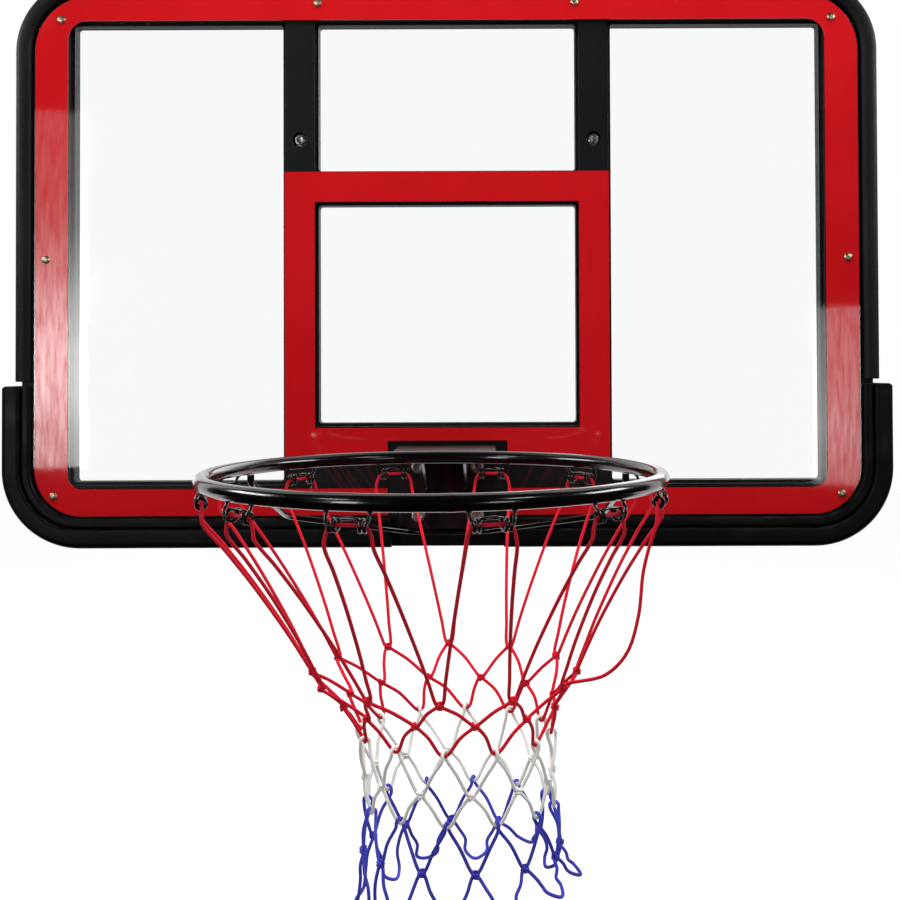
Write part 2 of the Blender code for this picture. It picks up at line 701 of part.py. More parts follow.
def build_pad(material):
    """Bottom pad round both lower corners, cut back at the middle for the rim bracket."""
    path = u_path(SHEET_HALF_WIDTH, PAD_END, SHEET_BOTTOM, SHEET_CORNER)
    pad = swept("bottom_pad", path, pad_profile(), material)
    half = PAD_NOTCH_HALF
    deep = SHEET_BOTTOM - 2 * PAD_OUTER
    front = flat("pad_front_notch", [box(-half, half, deep, 0.0)], PAD_NOTCH_FORWARD, 2 * PRINT_FRONT)
    boolean(pad, front, "DIFFERENCE")
    half = BACKING_HALF_WIDTH + BACKING_MARGIN
    low = SHEET_BOTTOM - FLANGE_WIDTH
    rear = flat("pad_rear_notch", [box(-half, half, low, 0.0)], -FRAME_WALL, BACKING_POCKET_DEPTH)
    boolean(pad, rear, "DIFFERENCE")
    return smooth(settle(pad), 35)


def build_screws(material):
    """Sheet screws with domed heads."""
    radius = SCREW_HEAD_RADIUS
    height = SCREW_HEAD_HEIGHT
    tip = 2 * GAP - SCREW_LENGTH
    profile = [(0.0, height), (0.6 * radius, 0.8 * height), (radius, 0.3 * height), (radius, 0.0)]
    profile += [(SCREW_RADIUS, 0.0), (SCREW_RADIUS, tip), (0.0, tip)]
    seat = PRINT_FRONT + GAP
    for spot, (x, z) in SCREW_PLACES.items():
        for side, sign in (("left", -1), ("right", 1)):
            turned(f"sheet_screw_{spot}_{side}", profile, SCREW_SIDES, seat, sign * x, z, material)


def build_wall_bolts(steel, zinc):
    """Wall bolts in the uprights' recesses, each with a washer under its head."""
    floor = FRAME_DEPTH - WALL_RECESS_DEPTH + GAP
    seat = floor + WALL_WASHER_THICKNESS + GAP
    for side, sign in (("left", -1), ("right", 1)):
        x = sign * WALL_BOLT_X
        washer(f"wall_bolt_washer_{side}", x, WALL_BOLT_Z, floor, WALL_WASHER_THICKNESS, WALL_BOLT_RADIUS,
               WALL_WASHER_RADIUS, zinc)
        bolt(f"wall_bolt_{side}", x, WALL_BOLT_Z, seat, WALL_BOLT_HEAD, WALL_BOLT_FLATS, WALL_BOLT_RADIUS,
             -WALL_BOLT_REACH, steel)


def bolt(name, across, up, seat, head, flats, radius, tip, material):
    """Hexagon-headed bolt: its head stands forward of its seat and its shank runs back to its tip."""
    item = flat(name, [hexagon(across, up, flats)], seat, seat + head, material)
    shank = flat(name + "_shank", [circle(across, up, radius)], tip, seat + head / 2)
    boolean(item, shank, "UNION")
    return smooth(settle(item), 30)


def washer(name, across, up, back, thickness, hole, radius, material):
    """Flat washer."""
    outlines = [circle(across, up, radius, 12), circle(across, up, hole + HOLE_GAP, 8)]
    return smooth(flat(name, outlines, back, back + thickness, material), 30)


def nut(name, across, up, back, height, flats, hole, material):
    """Hexagon nut."""
    outlines = [hexagon(across, up, flats), circle(across, up, hole + HOLE_GAP)]
    return smooth(flat(name, outlines, back, back + height, material), 30)


def build_ring(material):
    """Rim ring, one round bar."""
    bpy.ops.mesh.primitive_torus_add(
        location=(0.0, -RING_FORWARD, 0.0), major_radius=RING_RADIUS, minor_radius=RING_BAR_RADIUS,
        major_segments=RING_SEGMENTS, minor_segments=RING_BAR_SIDES)
    ring = bpy.context.active_object
    ring.name = "rim_ring"
    ring.data.name = "rim_ring"
    return smooth(place(ring, hoop, material), 60)


def build_bracket(material):
    """Bent bracket: back plate in the sheet's notch, and top plate out to the ring."""
    top = BRACKET_TOP
    under = top - BRACKET_THICKNESS
    reach = RING_FORWARD - RING_RADIUS + RING_BAR_RADIUS
    outline = rounded([
        (PLATE_BACK, BRACKET_BOTTOM, 0), (PLATE_FRONT, BRACKET_BOTTOM, 0),
        (PLATE_FRONT, under, BRACKET_BEND - BRACKET_THICKNESS), (reach, under, 0), (reach, top, 0),
        (PLATE_BACK, top, BRACKET_BEND),
    ], 30)
    bracket = upright_flat("rim_bracket", outline, -BRACKET_HALF_WIDTH, BRACKET_HALF_WIDTH, material)
    bpy.ops.mesh.primitive_cylinder_add(
        vertices=2 * RING_SEGMENTS, radius=RING_RADIUS + RING_BAR_RADIUS + GAP, depth=10 * BRACKET_THICKNESS,
        location=(0.0, -RING_FORWARD, 0.0))
    boolean(bracket, bpy.context.active_object, "DIFFERENCE")
    places = both_sides([(RIM_BOLT_X, RIM_BOLT_UPPER), (RIM_BOLT_X, RIM_BOLT_LOWER)])
    holes = [circle(x, z, RIM_BOLT_RADIUS + HOLE_GAP) for x, z in places]
    boolean(bracket, flat("bracket_holes", holes, 0.0, 2 * FRAME_DEPTH), "DIFFERENCE")
    return smooth(settle(bracket), 30)


def build_gussets(material):
    """Two gussets between the plates."""
    top = BRACKET_TOP - BRACKET_THICKNESS - GAP
    face = PLATE_FRONT + GAP
    bend = BRACKET_BEND - BRACKET_THICKNESS
    end = RING_FORWARD - RING_RADIUS - RING_BAR_RADIUS - GUSSET_RING_CLEARANCE
    foot = BRACKET_BOTTOM + BRACE_RADIUS
    waist = (face + 2 * GUSSET_FOOT, foot + 4 * GUSSET_FOOT, GUSSET_ROUND)
    outline = rounded([
        (face, foot, 0), (face + GUSSET_FOOT, foot, 0), waist,
        (end, top - GUSSET_TOE, 0), (end, top, 0), (face + bend, top, 0), (face, top - bend, 0),
    ], 15)
    half = GUSSET_THICKNESS / 2
    for side, sign in (("left", -1), ("right", 1)):
        upright_flat(f"rim_gusset_{side}", outline, sign * GUSSET_X - half, sign * GUSSET_X + half, material)


def build_brace(material):
    """Brace rod under the ring: one bent bar whose middle runs below the bracket's back plate."""
    half = [
        ring_point(BRACE_RING_ANGLE, 0, 0, -(RING_BAR_RADIUS + GAP)),
        ring_point(BRACE_RING_ANGLE, 0, 0, -(RING_BAR_RADIUS + BRACE_DROP)),
        Vector((BRACE_KNEE[0], -(SHEET_FRONT + BRACE_KNEE[1]), BRACE_KNEE[2])),
        Vector((BRACE_HEEL[0], -(SHEET_FRONT + BRACE_HEEL[1]), BRACE_HEEL[2])),
        Vector((BRACE_FOOT_HALF, -PLATE_FRONT, -BRACE_FOOT_DROP)),
    ]
    route = half + [Vector((-point.x, point.y, point.z)) for point in reversed(half)]
    return smooth(tube("ring_brace", softened(route, 0.018), BRACE_RADIUS, material, resolution=2), 60)


def softened(route, reach):
    """A route whose corners are rounded by short curves, each starting a set reach from its corner."""
    points = [route[0]]
    for before, corner, after in zip(route, route[1:], route[2:]):
        back = (before - corner)
        ahead = (after - corner)
        start = corner + back.normalized() * min(reach, 0.4 * back.length)
        end = corner + ahead.normalized() * min(reach, 0.4 * ahead.length)
        for step in range(3):
            share = step / 2
            points.append(start.lerp(corner, share).lerp(corner.lerp(end, share), share))
    return points + [route[-1]]


def build_rim_bolts(steel, zinc, black):
    """Rim bolts with front washers, and behind the frame their nuts on a backing plate."""
    plate_front = BACKING_POCKET_DEPTH - GAP
    plate_back = plate_front - BACKING_THICKNESS
    nut_back = plate_back - GAP - RIM_NUT_HEIGHT
    washer_back = PLATE_FRONT + GAP
    seat = washer_back + RIM_WASHER_THICKNESS + GAP
    spots = []
    for row, z in (("upper", RIM_BOLT_UPPER), ("lower", RIM_BOLT_LOWER)):
        for side, sign in (("left", -1), ("right", 1)):
            x = sign * RIM_BOLT_X
            spots.append(circle(x, z, RIM_BOLT_RADIUS + HOLE_GAP))
            washer(f"rim_washer_{row}_{side}", x, z, washer_back, RIM_WASHER_THICKNESS, RIM_BOLT_RADIUS,
                   RIM_WASHER_RADIUS, zinc)
            bolt(f"rim_bolt_{row}_{side}", x, z, seat, RIM_BOLT_HEAD, RIM_BOLT_FLATS, RIM_BOLT_RADIUS,
                 nut_back - RIM_BOLT_END, steel)
            nut(f"rim_nut_{row}_{side}", x, z, nut_back, RIM_NUT_HEIGHT, RIM_BOLT_FLATS,
                RIM_BOLT_RADIUS, zinc)
    half = BACKING_HALF_WIDTH
    plate = box(-half, half, BACKING_BOTTOM, BACKING_TOP)
    smooth(flat("rim_backing_plate", [plate] + spots, plate_back, plate_front, black), 30)


def hook_route(degrees):
    """Points of one net hook: a leg, an eye, the bridge, the other eye and leg."""
    steps = round(HOOK_EYE_TURNS * HOOK_EYE_STEPS)
    eye = []
    for step in range(steps + 1):
        turn = -2 * math.pi * step / HOOK_EYE_STEPS
        along = HOOK_EYE_OUTER + (HOOK_EYE_INNER - HOOK_EYE_OUTER) * step / steps
        eye.append((-along, HOOK_EYE_RADIUS * math.cos(turn), HOOK_EYE_Z + HOOK_EYE_RADIUS * math.sin(turn)))
    weld = -(RING_BAR_RADIUS + GAP)
    leg = [(-HOOK_LEG_SPREAD, 0.0, weld), (-HOOK_LEG_SPREAD, 0.6 * HOOK_EYE_RADIUS, (weld + HOOK_EYE_Z) / 2)]
    bridge = [(0.0, 0.0, HOOK_EYE_Z + HOOK_EYE_RADIUS + HOOK_BRIDGE_RISE)]
    half = leg + eye
    whole = half + bridge + [(-along, out, up) for along, out, up in reversed(half)]
    return [ring_point(degrees, along, out, up) for along, out, up in whole]


def hook_degrees(number):
    """Angle of a hook round the ring."""
    return 360 / HOOK_COUNT * (number + 0.5)


def build_hooks(material):
    """Net hooks, evenly round the ring."""
    for number in range(HOOK_COUNT):
        route = hook_route(hook_degrees(number))
        smooth(tube(f"net_hook_{number + 1:02d}", route, HOOK_WIRE_RADIUS, material), 60)


def net_point(row, degrees, tangential=0.0, outward=0.0, up=0.0):
    """A point on a row of the net, with offsets along the row, outward and up."""
    level = NET_ROWS[row]
    angle = math.radians(degrees + level["twist"])
    radial = Vector((math.cos(angle), math.sin(angle), 0.0))
    along = Vector((-math.sin(angle), math.cos(angle), 0.0))
    centre = Vector((level["shift"], -RING_FORWARD, level["z"]))
    spot = centre + Vector((level["wide"] * radial.x, level["deep"] * radial.y, 0.0))
    return spot + along * tangential + radial * outward + Vector((0.0, 0.0, up))


def knot_tip(row, degrees):
    """A cord's turn inside a knot: three points and their swell."""
    points = [
        net_point(row, degrees, -KNOT_HALF_WIDTH, 0.0, KNOT_DIP),
        net_point(row, degrees, 0.0, 0.0, -KNOT_DIP),
        net_point(row, degrees, KNOT_HALF_WIDTH, 0.0, KNOT_DIP),
    ]
    return points, [1.0, KNOT_SWELL, 1.0]


def plain_tip(row, degrees):
    """A cord's turn against the one below, with no knot."""
    return [net_point(row, degrees)], [1.0]


def hidden_tip(row, degrees):
    """The lower cord's turn inside the same knot."""
    return [net_point(row, degrees, 0.0, -KNOT_STAGGER, 0.0)], [1.0]


def bottom_tip(row, degrees):
    """A cord's lowest turn, which the next colour hangs from."""
    points = [
        net_point(row, degrees, -LINK_HALF_WIDTH, 0.0, LINK_DIP),
        net_point(row, degrees),
        net_point(row, degrees, LINK_HALF_WIDTH, 0.0, LINK_DIP),
    ]
    return points, [1.0, 1.0, 1.0]


def link_tip(row, degrees):
    """A cord's turn over the lowest turn of the colour above: out in front, over, and down behind."""
    points = []
    for turn in (-25, 30, 90, 150, 205):
        angle = math.radians(turn)
        reach = LINK_RADIUS * math.cos(angle)
        points.append(net_point(row, degrees, -0.2 * reach, reach, LINK_RADIUS * math.sin(angle)))
    return points, [1.0] * 5


def zigzag(name, upper_row, upper_tip, lower_row, lower_tip, start, material):
    """A closed cord that turns at each upper and lower tip in turn."""
    points = []
    swells = []
    for number in range(HOOK_COUNT):
        degrees = start + 360 / HOOK_COUNT * number
        turns = ((upper_row, upper_tip, degrees), (lower_row, lower_tip, degrees + 180 / HOOK_COUNT))
        for row, tip, angle in turns:
            tip_points, tip_swells = tip(row, angle)
            points += tip_points
            swells += tip_swells
    return tube(name, points, CORD_RADIUS, material, closed=True, radii=swells)


def arch(degrees):
    """A cord's way through the two eyes of one hook."""
    low = HOOK_EYE_Z - SHOULDER_DROP
    return [
        ring_point(degrees, -SHOULDER_HALF_WIDTH, 0.0, low),
        ring_point(degrees, -ARCH_HALF_WIDTH, 0.0, HOOK_EYE_Z),
        ring_point(degrees, ARCH_HALF_WIDTH, 0.0, HOOK_EYE_Z),
        ring_point(degrees, SHOULDER_HALF_WIDTH, 0.0, low),
    ]


def leg(start, end, bulges):
    """Points between a hook and a knot, each a share of the way with its bulge outward."""
    outward = Vector((start.x, start.y + RING_FORWARD, 0.0)).normalized()
    return [start.lerp(end, share) + outward * bulge for share, bulge in bulges]


def top_cord(material):
    """The red cord's top run: through each hook's eyes and down to a knot between hooks."""
    points = []
    swells = []
    for number in range(HOOK_COUNT):
        degrees = hook_degrees(number)
        way = arch(degrees)
        knot, swell = knot_tip(1, degrees + 180 / HOOK_COUNT)
        next_way = arch(degrees + 360 / HOOK_COUNT)
        down = leg(way[-1], knot[0], LEG_BULGES)
        climb = leg(next_way[0], knot[-1], SLACK_BULGES if number == SLACK_HOOK else LEG_BULGES)
        points += way + down + knot + climb[::-1]
        swells += [1.0] * (len(way) + len(down)) + swell + [1.0] * len(climb)
    return tube("net_red", points, CORD_RADIUS, material, closed=True, radii=swells)


def build_net(red, white, blue):
    """Net in three colours: red from the hooks, white and blue each hanging from the one above."""
    half = 180 / HOOK_COUNT
    cord = top_cord(red)
    boolean(cord, zigzag("red_middle", 1, hidden_tip, 2, plain_tip, 0, red), "UNION")
    boolean(cord, zigzag("red_low", 2, hidden_tip, 3, bottom_tip, half, red), "UNION")
    smooth(settle(cord), 60)
    cord = zigzag("net_white", 3, link_tip, 4, knot_tip, 0, white)
    boolean(cord, zigzag("white_low", 4, hidden_tip, 5, bottom_tip, half, white), "UNION")
    smooth(settle(cord), 60)
    cord = zigzag("net_blue", 5, link_tip, 6, plain_tip, 0, blue)
    boolean(cord, zigzag("blue_low", 6, hidden_tip, 7, loop_tip, half, blue), "UNION")
    smooth(settle(cord), 60)


def loop_tip(row, degrees):
    """A long loop at the foot of the net, which sways in or out."""
    number = round(degrees * HOOK_COUNT / 360) % HOOK_COUNT
    rise = LOOP_RISES[number]
    sway = LOOP_SWAYS[number]
    wide = LOOP_HALF_WIDTH
    points = [
        net_point(row, degrees, -wide, sway / 4, 2 * wide + rise / 2),
        net_point(row, degrees, -wide, sway / 2, 0.5 * wide + rise),
        net_point(row, degrees, 0.0, sway, rise),
        net_point(row, degrees, wide, sway / 2, 0.5 * wide + rise),
        net_point(row, degrees, wide, sway / 4, 2 * wide + rise / 2),
    ]
    return points, [1.0] * 5


def build():
    """Build every piece of the hoop."""
    clear_scene()
    bpy.context.scene.collection.children.link(hoop)
    bpy.context.scene.collection.children.link(cutters)
    frame_black = look("frame_black", (0.020, 0.021, 0.022), 0.45)
    clear = look("clear_polycarbonate", (0.93, 0.95, 0.95), 0.05, alpha=0.15)
    red_print = look("red_print", (0.55, 0.012, 0.018), 0.25)
    pad_black = look("pad_black", (0.012, 0.012, 0.013), 0.60)
    brass = look("yellow_zinc", (0.72, 0.60, 0.36), 0.30, 1.0)
    zinc = look("bright_zinc", (0.70, 0.70, 0.72), 0.30, 1.0)
    rim_black = look("rim_black", (0.010, 0.010, 0.011), 0.15)
    red = look("red_cord", (0.60, 0.010, 0.020), 0.70)
    white = look("white_cord", (0.85, 0.85, 0.86), 0.70)
    blue = look("blue_cord", (0.07, 0.06, 0.42), 0.70)
    build_frame(frame_black)
    build_sheet(clear)
    build_prints(red_print)
    build_pad(pad_black)
    build_screws(brass)
    build_wall_bolts(zinc, zinc)
    build_ring(rim_black)
    build_bracket(rim_black)
    build_gussets(rim_black)
    build_brace(rim_black)
    build_rim_bolts(zinc, zinc, rim_black)
    build_hooks(rim_black)
    build_net(red, white, blue)


build()
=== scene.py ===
# %% [markdown]
# A wall-mounted basketball hoop: a black moulded frame holds a clear sheet with red prints, a
# foam pad guards the lower edge, and a steel rim carries wire hooks and a three-colour net. The
# imported solids come first. They fix every place and size, and the finished pieces below, all but
# the net's cords, ride on one of their bodies.

# %% Load the imported solids
import math

import bmesh
import bpy
from mathutils import Matrix, Vector


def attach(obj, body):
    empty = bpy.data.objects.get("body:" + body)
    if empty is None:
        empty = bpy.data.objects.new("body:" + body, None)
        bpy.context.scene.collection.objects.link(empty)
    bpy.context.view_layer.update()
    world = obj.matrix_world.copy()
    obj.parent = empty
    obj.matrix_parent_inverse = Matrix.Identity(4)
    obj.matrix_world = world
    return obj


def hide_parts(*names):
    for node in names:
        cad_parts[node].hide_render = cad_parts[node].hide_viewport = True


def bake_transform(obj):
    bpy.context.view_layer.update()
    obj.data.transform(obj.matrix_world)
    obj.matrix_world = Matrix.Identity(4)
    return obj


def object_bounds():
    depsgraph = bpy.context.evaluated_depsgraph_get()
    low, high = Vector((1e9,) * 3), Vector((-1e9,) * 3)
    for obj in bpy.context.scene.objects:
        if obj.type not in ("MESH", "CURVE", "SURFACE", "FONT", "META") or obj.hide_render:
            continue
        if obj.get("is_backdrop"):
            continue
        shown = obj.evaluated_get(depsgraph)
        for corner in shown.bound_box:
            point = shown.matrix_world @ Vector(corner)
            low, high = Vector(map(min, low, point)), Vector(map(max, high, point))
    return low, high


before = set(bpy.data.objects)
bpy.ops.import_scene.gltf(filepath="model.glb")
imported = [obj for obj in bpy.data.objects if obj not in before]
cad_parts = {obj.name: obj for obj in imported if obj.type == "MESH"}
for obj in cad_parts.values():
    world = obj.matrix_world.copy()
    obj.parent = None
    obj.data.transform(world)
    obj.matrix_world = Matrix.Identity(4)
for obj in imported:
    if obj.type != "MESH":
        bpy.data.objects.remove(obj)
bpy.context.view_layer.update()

# %% [markdown]
# The camera stands a little right of the board's centre and just above the rim, looking almost
# level. The picture is a crop of a wider one, so the lens is shifted instead of being turned:
# that keeps the board's upright lines upright.

# %% Camera
lens = bpy.data.cameras.new("hoop_camera")
lens.sensor_width = 36.0
lens.lens = 46.2
lens.shift_x = -0.047
lens.shift_y = -0.117
camera = bpy.data.objects.new("hoop_camera", lens)
camera.location = (0.062, -1.623, 0.118)
tilt = Matrix.Rotation(math.radians(90.89), 4, "X") @ Matrix.Rotation(math.radians(-0.22), 4, "Z")
camera.matrix_world = Matrix.Translation(camera.location) @ tilt
bpy.context.scene.collection.objects.link(camera)
bpy.context.scene.camera = camera
print("camera at", tuple(round(value, 3) for value in camera.location), "lens", lens.lens, "mm")

# %% [markdown]
# Every finish, lamp and the world are small graphs of nodes. These helpers add a node together
# with what goes into it, so that the graphs below read as short formulas.

# %% Helpers for nodes
def plug(tree, node, plugs):
    """Give a node's inputs, by name or number, a value or another node's output."""
    for slot, item in plugs.items():
        if isinstance(item, bpy.types.NodeSocket):
            tree.links.new(item, node.inputs[slot])
        else:
            node.inputs[slot].default_value = item


def add_node(tree, kind, plugs):
    """A new node with its inputs filled."""
    node = tree.nodes.new("ShaderNode" + kind)
    plug(tree, node, plugs)
    return node


def calc(tree, operation, first, second=0.0):
    """One step of arithmetic on values or numbers."""
    node = add_node(tree, "Math", {0: first, 1: second})
    node.operation = operation
    return node.outputs[0]


def spread(tree, value, low, high, start=0.0, end=1.0):
    """Map a value from one range to another, clamped."""
    plugs = {"Value": value, "From Min": low, "From Max": high, "To Min": start, "To Max": end}
    return add_node(tree, "MapRange", plugs).outputs["Result"]


def seeing_ray(tree):
    """1 for rays that see: from the camera, mirrored or passed through. 0 for the others."""
    ray = add_node(tree, "LightPath", {}).outputs
    first_two = calc(tree, "MAXIMUM", ray["Is Camera Ray"], ray["Is Glossy Ray"])
    return calc(tree, "MAXIMUM", first_two, ray["Is Transmission Ray"])


def grey(level):
    """A grey colour."""
    return (level, level, level, 1.0)


def finish(name, roughness=0.5, metallic=0.0):
    """A new material, its nodes and its Principled shader."""
    material = bpy.data.materials.new(name)
    material.use_nodes = True
    shader = material.node_tree.nodes["Principled BSDF"]
    plug(material.node_tree, shader, {"Roughness": roughness, "Metallic": metallic})
    return material, material.node_tree, shader


print("helpers for nodes ready")

# %% [markdown]
# The hoop hangs in a white studio. The world is white where the camera, a reflection or the clear
# sheet looks at it, and a plain grey where it only lights the piece, so that pale surfaces keep
# their tone.

# %% White world
WHITE = 1.0
AMBIENT = 0.33
world = bpy.data.worlds.new("studio_world")
bpy.context.scene.world = world
world.use_nodes = True
tree = world.node_tree
tree.nodes.clear()
ambient = add_node(tree, "Background", {"Color": grey(AMBIENT)})
seen = add_node(tree, "Background", {"Color": grey(WHITE)})
choice = {0: seeing_ray(tree), 1: ambient.outputs[0], 2: seen.outputs[0]}
either = add_node(tree, "MixShader", choice)
add_node(tree, "OutputWorld", {"Surface": either.outputs[0]})
print("world: seen", WHITE, "ambient", AMBIENT)

# %% [markdown]
# A photographer lights a glossy black rim with a few large boxes and keeps the rest dark. The key
# box hangs high over the front of the rim, so the board grows darker downwards and the near cords
# stay in shade. It is left out of reflections, where it would lay a grey band along the ring's
# top. Boxes in front and beside give the streaks along the ring, and two narrow ones the pale
# strips on the printed border. These strips are seen in reflections alone, and their light
# changes with the height.

# %% Studio lamps
def soft_box(name, place, aim, width, height, power):
    """A rectangular lamp that faces a point."""
    light = bpy.data.lights.new(name, "AREA")
    light.shape = "RECTANGLE"
    light.size = width
    light.size_y = height
    light.energy = power
    lamp = bpy.data.objects.new(name, light)
    lamp.location = place
    lamp.rotation_euler = (Vector(aim) - Vector(place)).to_track_quat("-Z", "Y").to_euler()
    bpy.context.scene.collection.objects.link(lamp)
    lamp.visible_camera = False
    lamp.visible_transmission = False
    return lamp


def grade(lamp, stops):
    """Leave a lamp to reflections, its light changing through stops of (height, share)."""
    lamp.visible_diffuse = False
    lamp.data.use_nodes = True
    tree = lamp.data.node_tree
    place = add_node(tree, "NewGeometry", {})
    parts = add_node(tree, "SeparateXYZ", {0: place.outputs["Position"]})
    low, high = stops[0][0], stops[-1][0]
    ramp = add_node(tree, "ValToRGB", {"Fac": spread(tree, parts.outputs["Z"], low, high)})
    points = ramp.color_ramp.elements
    while len(points) < len(stops):
        points.new(0.5)
    for point, (height, share) in zip(points, stops):
        point.position = (height - low) / (high - low)
    peak = max(share for height, share in stops)
    for point, (height, share) in zip(points, stops):
        point.color = grey(share / peak)
    strength = calc(tree, "MULTIPLY", ramp.outputs["Color"], peak)
    plug(tree, tree.nodes["Emission"], {"Strength": strength})
    print(lamp.name, "stops at", [round(point.position, 2) for point in points])


BOARD_MIDDLE = (0.0, 0.0, 0.15)
RIM_MIDDLE = (0.0, -0.41, 0.0)
LEFT_STOPS = [(-0.30, 1.5), (-0.155, 1.95), (0.0, 2.75), (0.17, 2.7), (0.33, 1.95), (0.49, 1.15),
              (0.655, 0.55), (0.816, 0.38), (1.14, 0.30)]
RIGHT_STOPS = [(-0.38, 1.0), (-0.25, 1.25), (-0.15, 1.5), (0.01, 1.2), (0.33, 0.85)]
key = soft_box("key_box", (0.0, -0.55, 1.6), BOARD_MIDDLE, 2.1, 1.4, 44.0)
key.visible_glossy = False
left_strip = soft_box("left_strip_box", (-1.90, -3.05, 0.42), (-0.4, 0.0, 0.3), 0.66, 1.45, 13.0)
right_strip = soft_box("right_strip_box", (1.66, -3.05, -0.02), (0.4, 0.0, 0.1), 0.62, 0.72, 4.6)
grade(left_strip, LEFT_STOPS)
grade(right_strip, RIGHT_STOPS)
for side in (-1, 1):
    soft_box(f"front_box_{side}", (1.5 * side, -1.9, 1.35), RIM_MIDDLE, 0.50, 0.30, 4.0)
    soft_box(f"side_box_{side}", (2.3 * side, -0.30, 1.05), RIM_MIDDLE, 1.1, 0.50, 20.0)
soft_box("rear_fill_box", (0.9, 2.4, 1.3), (0.0, 0.0, 0.1), 1.6, 1.6, 14.0)

# %% [markdown]
# A matt floor under the net takes its shadow, and glows enough to look as white as the world.
# Black cards behind the camera, overhead, at both sides and underneath keep the red and the black
# deep. They are seen by reflections alone, so they never stand in a view or shade the piece.

# %% Floor and cards
FLOOR_Z = -0.75
FLOOR_GLOW = 0.81
CARD_SIDE = 2.6
CARD_REAR = -3.3
CARD_TOP = 3.0
CARD_LOW = FLOOR_Z + 0.01


def card(name, low, high, material):
    """A flat card of the studio, from its lowest corner to its highest."""
    wide, tall = [axis for axis in range(3) if low[axis] != high[axis]]
    corners = [list(low), list(low), list(high), list(low)]
    corners[1][wide] = high[wide]
    corners[3][tall] = high[tall]
    mesh = bpy.data.meshes.new(name)
    mesh.from_pydata(corners, [], [(0, 1, 2, 3)])
    mesh.materials.append(material)
    item = bpy.data.objects.new(name, mesh)
    bpy.context.scene.collection.objects.link(item)
    item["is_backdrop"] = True
    return item


floor_paint, tree, matt = finish("studio_floor", 0.9)
glow = calc(tree, "MULTIPLY", seeing_ray(tree), FLOOR_GLOW)
plug(tree, matt, {"Base Color": grey(0.32), "Emission Color": grey(1.0), "Emission Strength": glow})
card("studio_floor", (-5, -4, FLOOR_Z), (5, 6, FLOOR_Z), floor_paint)

black_felt, tree, felt = finish("black_felt", 1.0)
plug(tree, felt, {"Base Color": grey(0.004), "Specular IOR Level": 0.0})
FAR_CORNER = (-CARD_SIDE, CARD_REAR, CARD_LOW)
for name, low, high in (
    ("card_behind_camera", FAR_CORNER, (CARD_SIDE, CARD_REAR, CARD_TOP)),
    ("card_overhead", (-CARD_SIDE, CARD_REAR, CARD_TOP), (CARD_SIDE, 0.1, CARD_TOP)),
    ("card_left", FAR_CORNER, (-CARD_SIDE, 1.2, CARD_TOP)),
    ("card_right", (CARD_SIDE, CARD_REAR, CARD_LOW), (CARD_SIDE, 1.2, CARD_TOP)),
    ("card_under_rim", FAR_CORNER, (CARD_SIDE, 0.3, CARD_LOW)),
):
    dark = card(name, low, high, black_felt)
    dark.visible_camera = False
    dark.visible_diffuse = False
    dark.visible_transmission = False
    dark.visible_shadow = False

scene = bpy.context.scene
scene.view_settings.view_transform = "Standard"
print("floor at", FLOOR_Z, "view transform", scene.view_settings.view_transform)

# %% [markdown]
# Every finish is a Principled shader whose colour, roughness and bump come from noise at the size
# of the real grain. All patterns read object coordinates, in metres, so a scale of 1000 means
# about a millimetre. A few short helpers keep the finishes readable.

# %% Helpers for finishes
# The numbers of the colour sockets on a mixing node
COLOUR_A, COLOUR_B, COLOUR_RESULT = 6, 7, 2


def grain(tree, scale, detail=2.0, stretch=(1.0, 1.0, 1.0), turn=0.0, contrast=0.5):
    """Noise in object coordinates: features about 1/scale metres across, from 0 to 1."""
    place = add_node(tree, "TexCoord", {}).outputs["Object"]
    plugs = {"Vector": place, "Scale": stretch, "Rotation": (0.0, turn, 0.0)}
    turned = add_node(tree, "Mapping", plugs).outputs[0]
    plugs = {"Vector": turned, "Scale": scale, "Detail": detail, "Roughness": contrast}
    return add_node(tree, "TexNoise", plugs).outputs["Fac"]


def blend_colours(tree, share, first, second):
    """Mix two colours, or a colour and what another mix gives."""
    node = add_node(tree, "Mix", {"Factor": share})
    node.data_type = "RGBA"
    for slot, item in ((COLOUR_A, first), (COLOUR_B, second)):
        plug(tree, node, {slot: (*item, 1.0) if isinstance(item, tuple) else item})
    return node.outputs[COLOUR_RESULT]


def raise_grain(tree, shader, layers):
    """Bump from layers of (height, depth in metres), each on top of the last."""
    under = {}
    for height, depth in layers:
        plugs = {"Strength": 1.0, "Distance": depth, "Height": height, **under}
        bump = add_node(tree, "Bump", plugs)
        under = {"Normal": bump.outputs[0]}
    plug(tree, shader, under)


def dust(tree, amount):
    """How much dust lies on a surface: most where it faces up, in soft patches."""
    surface = add_node(tree, "NewGeometry", {})
    split = add_node(tree, "SeparateXYZ", {0: surface.outputs["Normal"]})
    facing = spread(tree, split.outputs["Z"], 0.3, 1.0)
    patches = spread(tree, grain(tree, 45.0, 5.0), 0.35, 0.75)
    return calc(tree, "MULTIPLY", calc(tree, "MULTIPLY", facing, patches), amount)


print("helpers for finishes ready")

# %% [markdown]
# The frame is injection-moulded plastic. Real mouldings have a fine spark-eroded grain, slow
# waves where the plastic shrank over ribs, and pale dust on the ledges. The grain is a bump of a
# few hundredths of a millimetre, because a stronger one would look like stone at this size.

